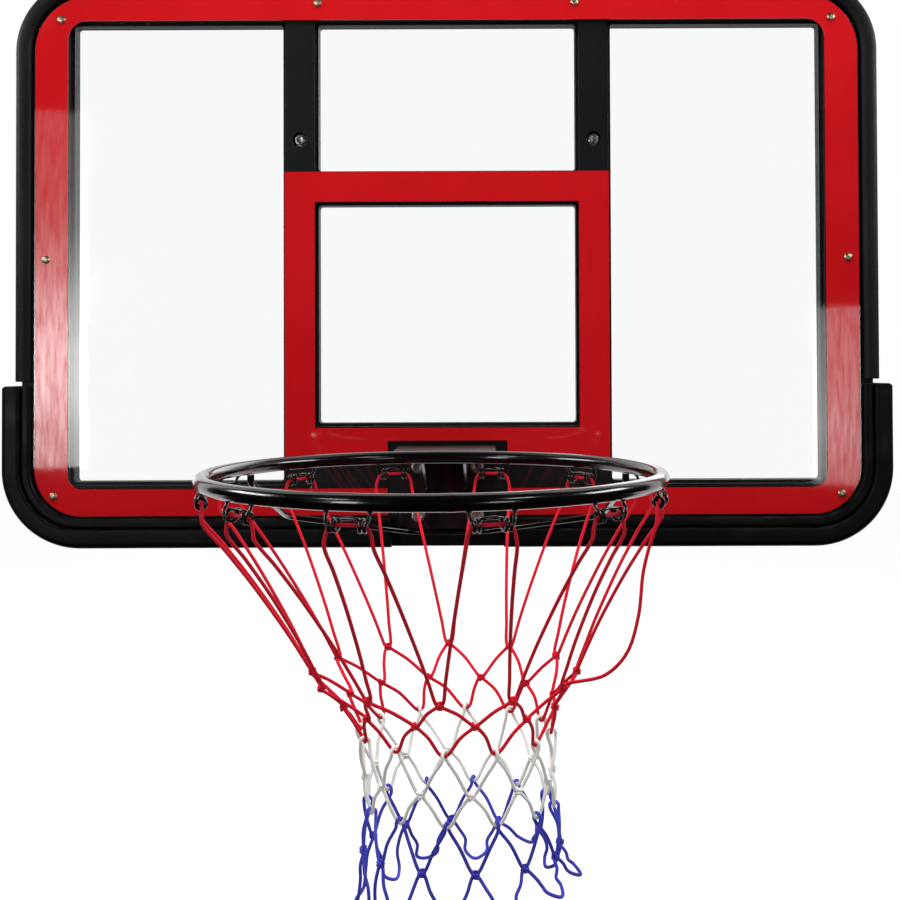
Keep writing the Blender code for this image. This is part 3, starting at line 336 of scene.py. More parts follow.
# %% Frame plastic
frame_plastic, tree, shader = finish("frame_plastic")
cloudy = spread(tree, grain(tree, 7.0, 4.0), 0.35, 0.7)
colour = blend_colours(tree, cloudy, (0.0045, 0.0048, 0.0052), (0.0080, 0.0085, 0.0092))
colour = blend_colours(tree, dust(tree, 0.25), colour, (0.08, 0.078, 0.073))
dull = spread(tree, grain(tree, 260.0, 3.0), 0.3, 0.7, 0.42, 0.60)
plug(tree, shader, {"Base Color": colour, "Roughness": dull, "Specular IOR Level": 0.2})
raise_grain(tree, shader, [(grain(tree, 22.0, 1.0), 0.0006), (grain(tree, 1900.0, 2.0), 0.00005)])

# %% [markdown]
# The clear sheet is polycarbonate 4 mm thick: glass-like, but softer, so it carries fine wiping
# scratches and faint smears. A flat sheet shows what is behind it unbent, so it is drawn as plain
# see-through with a mirror-like gloss over it, as much as its refractive index gives. Only the
# face that the light meets first gets the gloss, or the rear face would mirror everything seen at
# a slant.

# %% Clear sheet
clear_sheet = bpy.data.materials.new("clear_polycarbonate")
clear_sheet.use_nodes = True
tree = clear_sheet.node_tree
tree.nodes.clear()
see_through = add_node(tree, "BsdfTransparent", {"Color": (0.994, 0.998, 0.997, 1.0)})
smears = spread(tree, grain(tree, 9.0, 6.0), 0.45, 0.8, 0.02, 0.11)
gloss = add_node(tree, "BsdfAnisotropic", {"Color": grey(1.0), "Roughness": smears})
wiped = spread(tree, grain(tree, 60.0, 3.0, (14.0, 1.0, 0.5), 0.5), 0.66, 0.72)
raise_grain(tree, gloss, [(wiped, 0.00001)])
mirror = add_node(tree, "Fresnel", {"IOR": 1.585})
faces = add_node(tree, "NewGeometry", {})
first_face = calc(tree, "SUBTRACT", 1.0, faces.outputs["Backfacing"])
share = calc(tree, "MULTIPLY", mirror.outputs[0], first_face)
both = add_node(tree, "MixShader", {0: share, 1: see_through.outputs[0], 2: gloss.outputs[0]})
add_node(tree, "OutputMaterial", {"Surface": both.outputs[0]})

# %% [markdown]
# The border and the target are a glossy red ink on the sheet's face. Ink lies a little unevenly,
# so the red drifts slightly and the gloss has a soft orange peel. A few hairline scratches show
# paler.

# %% Red print
red_ink, tree, shader = finish("red_ink")
wiped = spread(tree, grain(tree, 24.0, 6.0, (7.0, 1.0, 1.0), 0.12, 0.65), 0.36, 0.68, 0.12, 1.0)
drift = spread(tree, grain(tree, 5.0, 5.0), 0.3, 0.7)
colour = blend_colours(tree, drift, (0.47, 0.0060, 0.0090), (0.53, 0.0085, 0.0120))
hair = spread(tree, grain(tree, 34.0, 3.0, (9.0, 1.0, 0.35), 0.9), 0.765, 0.80)
colour = blend_colours(tree, calc(tree, "MULTIPLY", hair, 0.22), colour, (0.70, 0.25, 0.26))
dull = spread(tree, grain(tree, 14.0, 5.0), 0.4, 0.75, 0.035, 0.09)
plug(tree, shader, {"Base Color": colour, "Roughness": dull, "Specular IOR Level": 0.25,
                    "Coat Weight": wiped, "Coat Roughness": 0.04})
raise_grain(tree, shader, [(grain(tree, 90.0, 2.0), 0.000025), (hair, 0.00001)])

# %% [markdown]
# The pad is self-skinned polyurethane foam. Its skin is a satin black with tiny pores and scuffs,
# softer than the frame's plastic, so its highlights are broad.

# %% Foam skin
foam_skin, tree, shader = finish("pad_foam_skin")
scuffed = spread(tree, grain(tree, 18.0, 6.0, (1.0, 1.0, 2.5)), 0.52, 0.75)
colour = blend_colours(tree, scuffed, (0.0012, 0.0013, 0.0015), (0.0042, 0.0044, 0.0047))
colour = blend_colours(tree, dust(tree, 0.2), colour, (0.07, 0.068, 0.064))
dull = spread(tree, grain(tree, 30.0, 6.0), 0.3, 0.7, 0.36, 0.56)
plug(tree, shader, {"Base Color": colour, "Roughness": dull, "Specular IOR Level": 0.16})
pores = spread(tree, grain(tree, 1400.0, 2.0), 0.55, 0.8)
raise_grain(tree, shader, [(grain(tree, 16.0, 2.0), 0.0009), (pores, -0.00008)])

# %% [markdown]
# The rim, bracket and hooks are powder-coated steel in gloss black. Powder coat flows into a soft
# orange peel with waves of 3 to 5 mm, and a thin clear top makes its highlights crisp. The
# bracket was coated in another batch and is duller.

# %% Powder coat
def powder_coat(name, low, high, dusty):
    """Gloss black powder coat between two roughnesses, with some dust on what faces up."""
    material, tree, shader = finish(name)
    worn = spread(tree, grain(tree, 70.0, 6.0), 0.62, 0.75)
    colour = blend_colours(tree, worn, (0.0016, 0.0016, 0.0018), (0.0060, 0.0060, 0.0064))
    colour = blend_colours(tree, dust(tree, dusty), colour, (0.08, 0.078, 0.075))
    dull = spread(tree, grain(tree, 40.0, 5.0), 0.3, 0.75, low, high)
    plug(tree, shader, {"Base Color": colour, "Roughness": dull,
                        "Coat Weight": 0.45, "Coat Roughness": 0.05})
    peel = grain(tree, 240.0, 1.0)
    raise_grain(tree, shader, [(peel, 0.00005), (grain(tree, 1500.0, 1.0), 0.00001)])
    return material


rim_paint = powder_coat("rim_powder_coat", 0.14, 0.24, 0.04)
bracket_paint = powder_coat("bracket_powder_coat", 0.32, 0.46, 0.30)

# %% [markdown]
# The sheet screws are yellow-passivated zinc and the wall bolts bright zinc. Plated steel is
# metal, so its colour is in its reflections: cloudy patches vary both the tint and the gloss.

# %% Plated steel
def plated(name, first, second, low, high):
    """Zinc plate that drifts between two tints and two roughnesses."""
    material, tree, shader = finish(name, metallic=1.0)
    patches = spread(tree, grain(tree, 420.0, 4.0), 0.35, 0.7)
    dull = spread(tree, grain(tree, 900.0, 3.0), 0.3, 0.7, low, high)
    colour = blend_colours(tree, patches, first, second)
    plug(tree, shader, {"Base Color": colour, "Roughness": dull})
    raise_grain(tree, shader, [(grain(tree, 2600.0, 2.0), 0.00001)])
    return material


yellow_zinc = plated("yellow_zinc_plate", (0.95, 0.80, 0.47), (0.86, 0.80, 0.60), 0.30, 0.46)
bright_zinc = plated("bright_zinc_plate", (0.52, 0.515, 0.50), (0.34, 0.335, 0.32), 0.28, 0.44)

# %% [markdown]
# The net is plaited polyester cord, under 4 mm thick. A plait is two sets of yarns that wind
# round the cord in opposite directions and pass over and under each other. The cords carry a map
# with their length on one axis and the way round on the other, so two crossing sine waves on it
# give the plait. Its grooves are darkened in the colour, which is painted shade.

# %% Plaited cord
PLAIT_PITCH = 0.0062
PLAIT_YARNS = 4


def plaited(name, bright, deep, groove, fuzz):
    """Plaited cord in a colour that drifts from bright to deep along the cord."""
    material, tree, shader = finish(name)
    place = add_node(tree, "UVMap", {})
    place.uv_map = "cord_map"
    split = add_node(tree, "SeparateXYZ", {0: place.outputs[0]})
    along = calc(tree, "MULTIPLY", split.outputs["X"], 2 * math.pi / PLAIT_PITCH)
    around = calc(tree, "MULTIPLY", split.outputs["Y"], 2 * math.pi * PLAIT_YARNS)
    right = calc(tree, "SINE", calc(tree, "ADD", along, around))
    left = calc(tree, "SINE", calc(tree, "SUBTRACT", along, around))
    crossing = calc(tree, "MULTIPLY", right, left)
    height = calc(tree, "POWER", calc(tree, "ABSOLUTE", crossing), 0.5)
    drift = spread(tree, grain(tree, 9.0, 3.0), 0.35, 0.65)
    colour = blend_colours(tree, drift, bright, deep)
    # Painted shade: the plait's grooves are darkened towards the groove colour.
    colour = blend_colours(tree, spread(tree, height, 0.0, 0.5, 0.55, 0.0), colour, groove)
    dull = spread(tree, height, 0.0, 1.0, 0.9, 0.62)
    plug(tree, shader, {"Base Color": colour, "Roughness": dull, "Specular IOR Level": 0.2,
                        "Sheen Weight": fuzz, "Sheen Roughness": 0.45})
    raise_grain(tree, shader, [(height, 0.00035), (grain(tree, 3500.0, 2.0), 0.00006)])
    return material


# The third colour of each cord is painted shade for the plait's grooves.
red_plait = plaited("red_plaited_cord", (0.88, 0.006, 0.030), (0.62, 0.005, 0.022),
                    (0.34, 0.003, 0.012), 0.04)
white_plait = plaited("white_plaited_cord", (0.97, 0.96, 0.91), (0.94, 0.925, 0.87),
                      (0.82, 0.805, 0.75), 0.35)
blue_plait = plaited("blue_plaited_cord", (0.105, 0.115, 0.86), (0.045, 0.044, 0.45),
                     (0.026, 0.024, 0.21), 0.06)
print("finishes:", len(bpy.data.materials))

# %% [markdown]
# Flat pieces are made as filled outlines, which is how sheet parts are drawn. Rails and pads are
# one profile run along a path. Wires, cords and the ring are tubes. These few builders make
# nearly all of the hoop. A corner is given as across, up and radius, and becomes an arc of short
# steps.

# %% Outlines
def rounded(corners, step=4.0):
    """Points of an outline whose corners (across, up, radius) are arcs of short steps."""
    points = []
    for index, (across, up, radius) in enumerate(corners):
        here = Vector((across, up))
        if radius == 0:
            points.append(here)
            continue
        before = (Vector(corners[index - 1][:2]) - here).normalized()
        after = (Vector(corners[(index + 1) % len(corners)][:2]) - here).normalized()
        half = before.angle(after) / 2
        centre = here + (before + after).normalized() * radius / math.sin(half)
        start = here + before * radius / math.tan(half) - centre
        turn = start.angle_signed(here + after * radius / math.tan(half) - centre)
        steps = max(2, round(math.degrees(abs(turn)) / step))
        for number in range(steps + 1):
            points.append(centre + Matrix.Rotation(-turn * number / steps, 2) @ start)
    return [(point.x, point.y) for point in points]


def box(left, right, low, high, radius=0.0):
    """A rectangle's outline."""
    corners = [(left, low), (right, low), (right, high), (left, high)]
    return rounded([(*corner, radius) for corner in corners], 15)


def circle(across, up, radius, sides=32):
    """A circle's outline."""
    turns = [2 * math.pi * (number + 0.5) / sides for number in range(sides)]
    return [(across + radius * math.cos(turn), up + radius * math.sin(turn)) for turn in turns]


def both_sides(places):
    """Each place and the one that mirrors it."""
    return [(side * x, z) for x, z in places for side in (-1, 1)]


def circles(places, radius, sides=32):
    """One circle at each place."""
    return [circle(x, z, radius, sides) for x, z in places]


def mirrored(corners):
    """Corners, and then the same ones mirrored to the other side in turned order."""
    return corners + [(-across, *rest) for across, *rest in reversed(corners)]


def u_path(half_width, low, high, corner):
    """A path from the left foot, over the top or round the bottom, to the right foot."""
    return rounded(mirrored([(-half_width, low, 0), (-half_width, high, corner)]), 3.0)

# %% Piece builders
def smooth(mesh, sharp):
    """Shade a mesh smooth, apart from edges that turn by more than an angle in degrees."""
    mesh.shade_smooth()
    mesh.set_sharp_from_angle(angle=math.radians(sharp))


def as_piece(name, mesh, material, body="board", sharp=35.0):
    """A mesh as a named piece that rides on a body."""
    mesh.name = name
    piece = bpy.data.objects.new(name, mesh)
    bpy.context.scene.collection.objects.link(piece)
    if material is not None:
        mesh.materials.clear()
        mesh.materials.append(material)
    smooth(mesh, sharp)
    if body is not None:
        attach(piece, body)
    return piece


def as_mesh(shape, name):
    """A shape as a mesh, with its faces pointing out."""
    bmesh.ops.recalc_face_normals(shape, faces=shape.faces)
    mesh = bpy.data.meshes.new(name)
    shape.to_mesh(mesh)
    shape.free()
    return mesh


def welded(mesh):
    """Weld a closed mesh, join its flat faces and point its faces out."""
    shape = bmesh.new()
    shape.from_mesh(mesh)
    bmesh.ops.remove_doubles(shape, verts=shape.verts, dist=0.000005)
    flat = math.radians(0.2)
    bmesh.ops.dissolve_limit(shape, angle_limit=flat, verts=shape.verts, edges=shape.edges)
    bmesh.ops.recalc_face_normals(shape, faces=shape.faces)
    shape.to_mesh(mesh)
    shape.free()
    return mesh


def band(shape, row, after):
    """Faces between two rows of corners, where a row of one corner is a tip."""
    faces = []
    for number in range(max(len(row), len(after))):
        corners = [row[number % len(row)], row[(number + 1) % len(row)]]
        corners += [after[(number + 1) % len(after)], after[number % len(after)]]
        faces.append(shape.faces.new(list(dict.fromkeys(corners))))
    return faces


def slab_mesh(name, outlines, back, front):
    """A flat solid with outlines in X and Z, from one forward distance to another."""
    curve = bpy.data.curves.new(name, "CURVE")
    curve.dimensions = "2D"
    curve.fill_mode = "BOTH"
    curve.extrude = (front - back) / 2
    for outline in outlines:
        spline = curve.splines.new("POLY")
        spline.points.add(len(outline) - 1)
        for point, (across, up) in zip(spline.points, outline):
            point.co = (across, up, 0.0, 1.0)
        spline.use_cyclic_u = True
    holder = bpy.data.objects.new(name, curve)
    mesh = bpy.data.meshes.new_from_object(holder)
    bpy.data.objects.remove(holder)
    upright = Matrix.Rotation(math.radians(90), 4, "X")
    mesh.transform(Matrix.Translation((0.0, -(front + back) / 2, 0.0)) @ upright)
    return welded(mesh)


def slab(name, outlines, back, front, material):
    """A flat piece."""
    return as_piece(name, slab_mesh(name, outlines, back, front), material)


def sweep(name, path, profile, material):
    """One profile (across to the right, forward) run along a path in X and Z."""
    shape = bmesh.new()
    rows = []
    for index, point in enumerate(path):
        here = Vector(point)
        before = (here - Vector(path[index - 1])).normalized() if index else None
        after = (Vector(path[index + 1]) - here).normalized() if index + 1 < len(path) else None
        before = before or after
        after = after or before
        way = (before + after).normalized()
        side = Vector((way.y, -way.x)) / max(0.2, way.dot(before))
        spots = [(here.x + side.x * across, -ahead, here.y + side.y * across)
                 for across, ahead in profile]
        rows.append([shape.verts.new(spot) for spot in spots])
    for row, following in zip(rows, rows[1:]):
        band(shape, row, following)
    shape.faces.new(rows[0])
    shape.faces.new(rows[-1])
    return as_piece(name, as_mesh(shape, name), material)


def cut(piece, mesh):
    """Cut another mesh away from a piece."""
    other = bpy.data.objects.new("cutter", mesh)
    bpy.context.scene.collection.objects.link(other)
    step = piece.modifiers.new("cut", "BOOLEAN")
    step.solver = "EXACT"
    step.operation = "DIFFERENCE"
    step.object = other
    bpy.context.view_layer.update()
    solid = piece.evaluated_get(bpy.context.evaluated_depsgraph_get())
    result = bpy.data.meshes.new_from_object(solid)
    piece.modifiers.clear()
    bpy.data.objects.remove(other)
    piece.data = welded(result)
    result.name = piece.name
    smooth(result, 35)


def ease(piece, width, segments=2, angle=40.0):
    """Round a piece's sharp edges a little, as every real edge is."""
    step = piece.modifiers.new("eased_edges", "BEVEL")
    step.width = width
    step.segments = segments
    step.limit_method = "ANGLE"
    step.angle_limit = math.radians(angle)
    step.use_clamp_overlap = False
    step.harden_normals = True


def stands_for(piece, node):
    """Hide the solid that a piece replaces, and print what replaces it."""
    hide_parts(node)
    print(piece.name, "faces", len(piece.data.polygons), "for", node)

# %% [markdown]
# A tube needs a frame that travels along its line without twisting. Each step turns the last side
# vector by the same small turn as the line makes, which is called parallel transport. The map
# stores metres along and turns around, for the plaited finish.

# %% Tubes
def pull(first, second, start, end, time):
    """The point that lies between two, for a time between theirs."""
    return first + (second - first) * (time - start) / (end - start)


def eased_line(points, gap, closed=False):
    """A smooth line through points, in steps of about one gap (centripetal Catmull-Rom)."""
    points = [Vector(point) for point in points]
    count = len(points)
    line = []
    for index in range(count if closed else count - 1):
        if closed:
            four = [points[(index + shift) % count] for shift in (-1, 0, 1, 2)]
        else:
            four = [points[min(max(index + shift, 0), count - 1)] for shift in (-1, 0, 1, 2)]
        if (four[0] - four[1]).length < 1e-7:
            four[0] = four[1] * 2 - four[2]
        if (four[3] - four[2]).length < 1e-7:
            four[3] = four[2] * 2 - four[1]
        times = [0.0]
        for first, second in zip(four, four[1:]):
            times.append(times[-1] + max((second - first).length, 1e-7) ** 0.5)
        steps = max(1, round((four[2] - four[1]).length / gap))
        for step in range(steps):
            time = times[1] + (times[2] - times[1]) * step / steps
            a = [pull(four[k], four[k + 1], times[k], times[k + 1], time) for k in range(3)]
            b = [pull(a[k], a[k + 1], times[k], times[k + 2], time) for k in range(2)]
            line.append(pull(b[0], b[1], times[1], times[2], time))
    return line if closed else line + [points[-1]]


def side_vectors(line, closed):
    """A tangent and an untwisted side vector at each point of a line."""
    count = len(line)
    ways = []
    for index in range(count):
        before = line[index - 1] if closed or index else line[index]
        after = line[(index + 1) % count] if closed or index + 1 < count else line[index]
        ways.append((after - before).normalized())
    side = ways[0].orthogonal().normalized()
    sides = [side]
    for before, after in zip(ways, ways[1:]):
        side = before.rotation_difference(after) @ side
        sides.append(side)
    if closed:
        last = ways[-1].rotation_difference(ways[0]) @ side
        error = math.atan2(ways[0].dot(sides[0].cross(last)), sides[0].dot(last))
        for index in range(count):
            sides[index] = Matrix.Rotation(-error * index / count, 3, ways[index]) @ sides[index]
    return ways, sides


def add_tube(shape, line, radius, sides, closed=False, swell=None):
    """Add a tube along a line to a shape. swell gives each point's share of the radius."""
    charts = shape.loops.layers.uv.get("cord_map") or shape.loops.layers.uv.new("cord_map")
    turns = [2 * math.pi * number / sides for number in range(sides)]
    rows = []
    lengths = [0.0]
    for index, (point, way, hand) in enumerate(zip(line, *side_vectors(line, closed))):
        reach = radius * (swell[index] if swell else 1.0)
        other = way.cross(hand)
        spots = [point + (hand * math.cos(t) + other * math.sin(t)) * reach for t in turns]
        rows.append([shape.verts.new(spot) for spot in spots])
        lengths.append(lengths[-1] + (line[(index + 1) % len(line)] - point).length)
    for index in range(len(line) if closed else len(line) - 1):
        faces = band(shape, rows[index], rows[(index + 1) % len(rows)])
        for number, face in enumerate(faces):
            spots = ((index, number), (index, number + 1),
                     (index + 1, number + 1), (index + 1, number))
            for loop, (step, turn) in zip(face.loops, spots):
                loop[charts].uv = (lengths[step], turn / sides)
    if not closed:
        shape.faces.new(rows[0][::-1])
        shape.faces.new(rows[-1])
    return lengths[-1]


def tube(name, line, radius, sides, closed=False, swell=None):
    """A painted tube as a piece."""
    shape = bmesh.new()
    length = add_tube(shape, line, radius, sides, closed, swell)
    print(name, "length", round(length, 2), "m")
    return as_piece(name, as_mesh(shape, name), rim_paint, sharp=60.0)


print("builders ready")

# %% [markdown]
# The moulded frame carries everything. Its body is a 30 mm slab with four windows, hollowed from
# behind into cells so that the walls stay even, as a moulder would do it. Every window has a
# small ledge round its front edge. All distances forward are measured from the frame's rear face,
# which is the origin.

# %% Frame sizes
# In metres. Low, high, in and out are places on the board, and the rest are widths and radii.
GAP = 0.0003
DEPTH = 0.030
HALF_WIDTH = 0.594
TOP = 0.653
CORNER = 0.103
WALL = 0.004
BEAD = 0.021
SHEET_MARGIN = 0.004
SHEET_BACK = DEPTH + GAP
SHEET_FRONT = SHEET_BACK + 0.004
PRINT_BACK = SHEET_FRONT + GAP
PRINT_FRONT = PRINT_BACK + 0.0004
SHEET_HALF = HALF_WIDTH - BEAD - SHEET_MARGIN
SHEET_TOP = TOP - BEAD - SHEET_MARGIN
SHEET_LOW = -0.0925
SHEET_CORNER = 0.066
SHEET_TOP_CORNER = CORNER - BEAD - SHEET_MARGIN
BODY_MARGIN = 0.0015
WINDOW_IN = 0.2275
WINDOW_OUT = 0.5175
WINDOW_TOP = 0.5885
WINDOW_LOW = -0.045
UPRIGHT_IN = WINDOW_IN - 0.049
TOP_WINDOW_LOW = 0.385
CENTRE_TOP = 0.337
CENTRE_LOW = 0.035
LEDGE = 0.0045
LEDGE_DEPTH = 0.009
NOTCH_HALF = 0.0805
NOTCH_TOP = 0.0095
WINDOW_ROUND = 0.004


def sheet_outline(offset, notched):
    """The clear sheet's outline, grown by an offset."""
    half = SHEET_HALF + offset
    low = SHEET_LOW - offset
    corners = mirrored([(half, low, SHEET_CORNER + offset),
                        (half, SHEET_TOP + offset, SHEET_TOP_CORNER + offset)])
    if notched:
        corners += mirrored([(-NOTCH_HALF, low, 0), (-NOTCH_HALF, NOTCH_TOP, 0.004)])
    return rounded(corners)


def windows(grow):
    """Outlines of the four windows, grown by a margin."""
    low = WINDOW_LOW - grow
    high = WINDOW_TOP + grow
    half = UPRIGHT_IN + grow
    near, far = WINDOW_IN - grow, WINDOW_OUT + grow
    return [
        box(-far, -near, low, high, WINDOW_ROUND), box(near, far, low, high, WINDOW_ROUND),
        box(-half, half, TOP_WINDOW_LOW - grow, high, WINDOW_ROUND),
        box(-half, half, CENTRE_LOW - grow, CENTRE_TOP + grow, WINDOW_ROUND),
    ]

# %% Cells behind the frame
CELL_EDGE = LEDGE + WALL
CELL_ROUND = 0.0015
CORNER_BLOCK = 0.050
PANEL_IN = 0.068


def cell_row(left, right, low, high, count, along_x):
    """A member's hollow cells."""
    left, right, low, high = left + CELL_EDGE, right - CELL_EDGE, low + CELL_EDGE, high - CELL_EDGE
    start, end = (left, right) if along_x else (low, high)
    pitch = (end - start + WALL) / count
    row = []
    for number in range(count):
        begin = start + pitch * number
        stop = begin + pitch - WALL
        sides = (begin, stop, low, high) if along_x else (left, right, begin, stop)
        row.append(box(*sides, CELL_ROUND))
    return row


far = WINDOW_OUT - CORNER_BLOCK
body_low = SHEET_LOW - BODY_MARGIN
cells = cell_row(-far, far, WINDOW_TOP, SHEET_TOP + BODY_MARGIN, 4, True)
cells += cell_row(-UPRIGHT_IN, UPRIGHT_IN, CENTRE_TOP, TOP_WINDOW_LOW, 2, True)
for side in (-1, 1):
    outer = sorted((side * WINDOW_OUT, side * (SHEET_HALF + BODY_MARGIN)))
    upright = sorted((side * UPRIGHT_IN, side * WINDOW_IN))
    lower = sorted((side * WINDOW_IN, side * far))
    panel = sorted((side * PANEL_IN, side * WINDOW_IN))
    cells += cell_row(*outer, WINDOW_LOW + CORNER_BLOCK, WINDOW_TOP - CORNER_BLOCK, 3, False)
    cells += cell_row(*upright, CENTRE_LOW, CENTRE_TOP, 1, False)
    cells += cell_row(*upright, TOP_WINDOW_LOW, WINDOW_TOP, 1, False)
    cells += cell_row(*lower, body_low, WINDOW_LOW, 2, True)
    cells += cell_row(*panel, WINDOW_LOW, CENTRE_LOW, 1, True)
    cells += cell_row(*panel, body_low, WINDOW_LOW, 1, True)
print("cells:", len(cells))

# %% Frame body
SCREWS = [(0.531, 0.594), (0.177, 0.616), (0.552, 0.262), (0.541, -0.063), (0.176, -0.070)]
SCREW_NAMES = ["top_corner", "top_inner", "side", "bottom_corner", "bottom_inner"]
WALL_BOLTS = both_sides([(0.2032, 0.4275)])
RIM_BOLTS = both_sides([(0.040, -0.024), (0.040, -0.0905)])
WALL_WAY = 0.0046
BOLT_WAY = 0.0056
RECESS_DEPTH = 0.009
POCKET_DEPTH = 0.0165
POCKET_HALF = 0.061
AHEAD = DEPTH + WALL
outlines = [sheet_outline(BODY_MARGIN, False)] + windows(0.0)
frame_body = slab("frame_body", outlines, 0.0, DEPTH, frame_plastic)
cut(frame_body, slab_mesh("ledges", windows(LEDGE), DEPTH - LEDGE_DEPTH, AHEAD))
hollow = as_piece("hollow", slab_mesh("hollow", cells, -WALL, DEPTH - WALL), None, None)
bosses = circles(both_sides(SCREWS), 0.0070, 24) + circles(WALL_BOLTS, 0.0165)
cut(hollow, slab_mesh("bosses", bosses, -2 * WALL, AHEAD))
cut(frame_body, hollow.data.copy())
bpy.data.objects.remove(hollow)
cut(frame_body, slab_mesh("recesses", circles(WALL_BOLTS, 0.0100), DEPTH - RECESS_DEPTH, AHEAD))
pocket = box(-POCKET_HALF, POCKET_HALF, -0.1065, -0.008, 0.002)
cut(frame_body, slab_mesh("pocket", [pocket], -WALL, POCKET_DEPTH))
holes = circles(WALL_BOLTS, WALL_WAY, 24) + circles(RIM_BOLTS, BOLT_WAY, 24)
cut(frame_body, slab_mesh("holes", holes, -WALL, AHEAD))
screw_holes = circles(both_sides(SCREWS), 0.0028, 12)
cut(frame_body, slab_mesh("screw_holes", screw_holes, 0.0170, AHEAD))
ease(frame_body, 0.0006)
stands_for(frame_body, "board_frame")

# %% [markdown]
# The rail is the rounded bead that borders the sheet at the top and sides. It is one hollow
# profile run up one side, over and down the other. Its crown is an arc with many steps, so that
# the long highlight on it stays smooth, and its two lower ends are rounded off.

# %% Frame rail
CROWN = 0.0055
CROWN_STEPS = 16
BEAD_END = 0.094
shoulder = DEPTH - 0.006
lap = BEAD + SHEET_MARGIN - BODY_MARGIN + 0.0035
crown = []
for number in range(CROWN_STEPS + 1):
    share = number / CROWN_STEPS
    crown.append((BEAD * share, SHEET_FRONT + CROWN * math.sin(math.pi * share) ** 0.62))
profile = [(0.0, 0.001)] + crown + [
    (BEAD, shoulder + 0.002), (BEAD + 0.0006, shoulder + 0.0006), (BEAD + 0.002, shoulder),
    (lap, shoulder), (lap, shoulder - WALL), (BEAD - WALL, shoulder - WALL),
    (BEAD - WALL, SHEET_FRONT - WALL), (WALL, SHEET_FRONT - WALL), (WALL, 0.001),
]
rail = sweep("frame_rail", u_path(HALF_WIDTH, BEAD_END, TOP, CORNER), profile, frame_plastic)
ease(rail, 0.0012, 3, 60)
stands_for(rail, "board_frame")

# %% Frame flange
LAP_OUT = 0.018
LAP_IN = 0.008
FLANGE_BACK = 0.012
outer = SHEET_HALF + LAP_OUT
inner = SHEET_HALF - LAP_IN
flange_top = BEAD_END + 0.008
outline = mirrored([(-outer, flange_top, 0), (-outer, SHEET_LOW - LAP_OUT, SHEET_CORNER + LAP_OUT)])
outline += mirrored([(inner, flange_top, 0), (inner, SHEET_LOW + LAP_IN, SHEET_CORNER - LAP_IN)])
flange = slab("frame_flange", [rounded(outline)], FLANGE_BACK, DEPTH - GAP, frame_plastic)
ease(flange, 0.0006)
stands_for(flange, "board_frame")

# %% [markdown]
# The clear sheet lies on the frame, with a notch for the rim bracket and holes for the screws and
# the two wall bolts. The border and the target are thin skins of ink on its face. Keeping them as
# their own pieces gives the ink a real edge, and the black frame shows between the bars as it
# does behind glass.

# %% Clear sheet
bolt_holes = circles(WALL_BOLTS, 0.0108, 40)
sheet = slab("clear_panel", [sheet_outline(0.0, True)] + screw_holes + bolt_holes,
             SHEET_BACK, SHEET_FRONT, clear_sheet)
ease(sheet, 0.0004)
stands_for(sheet, "clear_sheet")

# %% Prints
INSET = 0.0018
BORDER_IN = 0.522
BORDER_LOW = -0.054
BORDER_TOP = 0.592
edge = NOTCH_HALF + INSET
half = SHEET_HALF - INSET
low = SHEET_LOW + INSET
outline = mirrored([(half, low, SHEET_CORNER - INSET),
                    (half, SHEET_TOP - INSET, SHEET_TOP_CORNER - INSET)])
outline += mirrored([(-edge, low, 0), (-edge, BORDER_LOW, 0),
                     (-BORDER_IN, BORDER_LOW, 0.020), (-BORDER_IN, BORDER_TOP, 0.026)])
border = slab("border_ink", [rounded(outline)] + screw_holes, PRINT_BACK, PRINT_FRONT, red_ink)
stands_for(border, "border_print")

TARGET_HALF = 0.2235
TARGET_TOP = 0.382
TARGET_LOW = -0.0125
BAND = 0.0415
outline = mirrored([(edge, TARGET_LOW, 0), (TARGET_HALF, TARGET_LOW, 0),
                    (TARGET_HALF, TARGET_TOP, 0)])
outline += [(-edge, NOTCH_TOP + INSET, 0), (edge, NOTCH_TOP + INSET, 0)]
window = box(BAND - TARGET_HALF, TARGET_HALF - BAND, TARGET_LOW + BAND, TARGET_TOP - BAND)
target = slab("target_ink", [rounded(outline), window], PRINT_BACK, PRINT_FRONT, red_ink)
stands_for(target, "target_print")

# %% [markdown]
# The pad is one soft moulding that clips over the frame's lower flange. Seen from the front it
# has a narrow raised bead, a groove and then its thick body, all with generous rounds. It keeps
# its shape, so it is swept and not simulated: the rounds are drawn into the profile itself.

# %% Bottom pad
PAD_END = 0.088
PAD_OUT = 0.0420
PAD_FOOT = 0.001
PAD_BEAD_IN, PAD_BEAD_OUT = 0.0015, 0.0150
PAD_BODY_IN = 0.0162
PAD_FRONT = 0.09
END_ROUND = 0.0075
lip = SHEET_FRONT + 0.0085
crest = SHEET_FRONT + 0.0105
groove = lip - 0.0058
clip = LAP_OUT + GAP
rear = BODY_MARGIN + 2 * GAP
pad_profile = rounded([
    (PAD_BEAD_IN, SHEET_BACK, 0), (PAD_BEAD_IN, lip, 0.0045), (PAD_BEAD_OUT, lip, 0.0040),
    (PAD_BEAD_OUT, groove, 0.0006), (PAD_BODY_IN, groove, 0.0006), (PAD_BODY_IN, crest, 0.0045),
    (PAD_OUT, crest, 0.0085), (PAD_OUT, PAD_FOOT, 0.0060), (rear, PAD_FOOT, 0),
    (rear, FLANGE_BACK - GAP, 0), (clip, FLANGE_BACK - GAP, 0), (clip, SHEET_BACK, 0),
], 12.0)
pad_path = u_path(SHEET_HALF, PAD_END, SHEET_LOW, SHEET_CORNER)
pad = sweep("foam_pad", pad_path, pad_profile, foam_skin)
front_notch = box(-0.0765, 0.0765, -0.20, 0.0)
cut(pad, slab_mesh("front_notch", [front_notch], DEPTH - WALL, PAD_FRONT))
rear_notch = box(-POCKET_HALF, POCKET_HALF, -0.1105, 0.0)
cut(pad, slab_mesh("rear_notch", [rear_notch], -WALL, POCKET_DEPTH))
middle = SHEET_HALF + PAD_OUT - END_ROUND
below, above = PAD_END - END_ROUND, PAD_END + END_ROUND
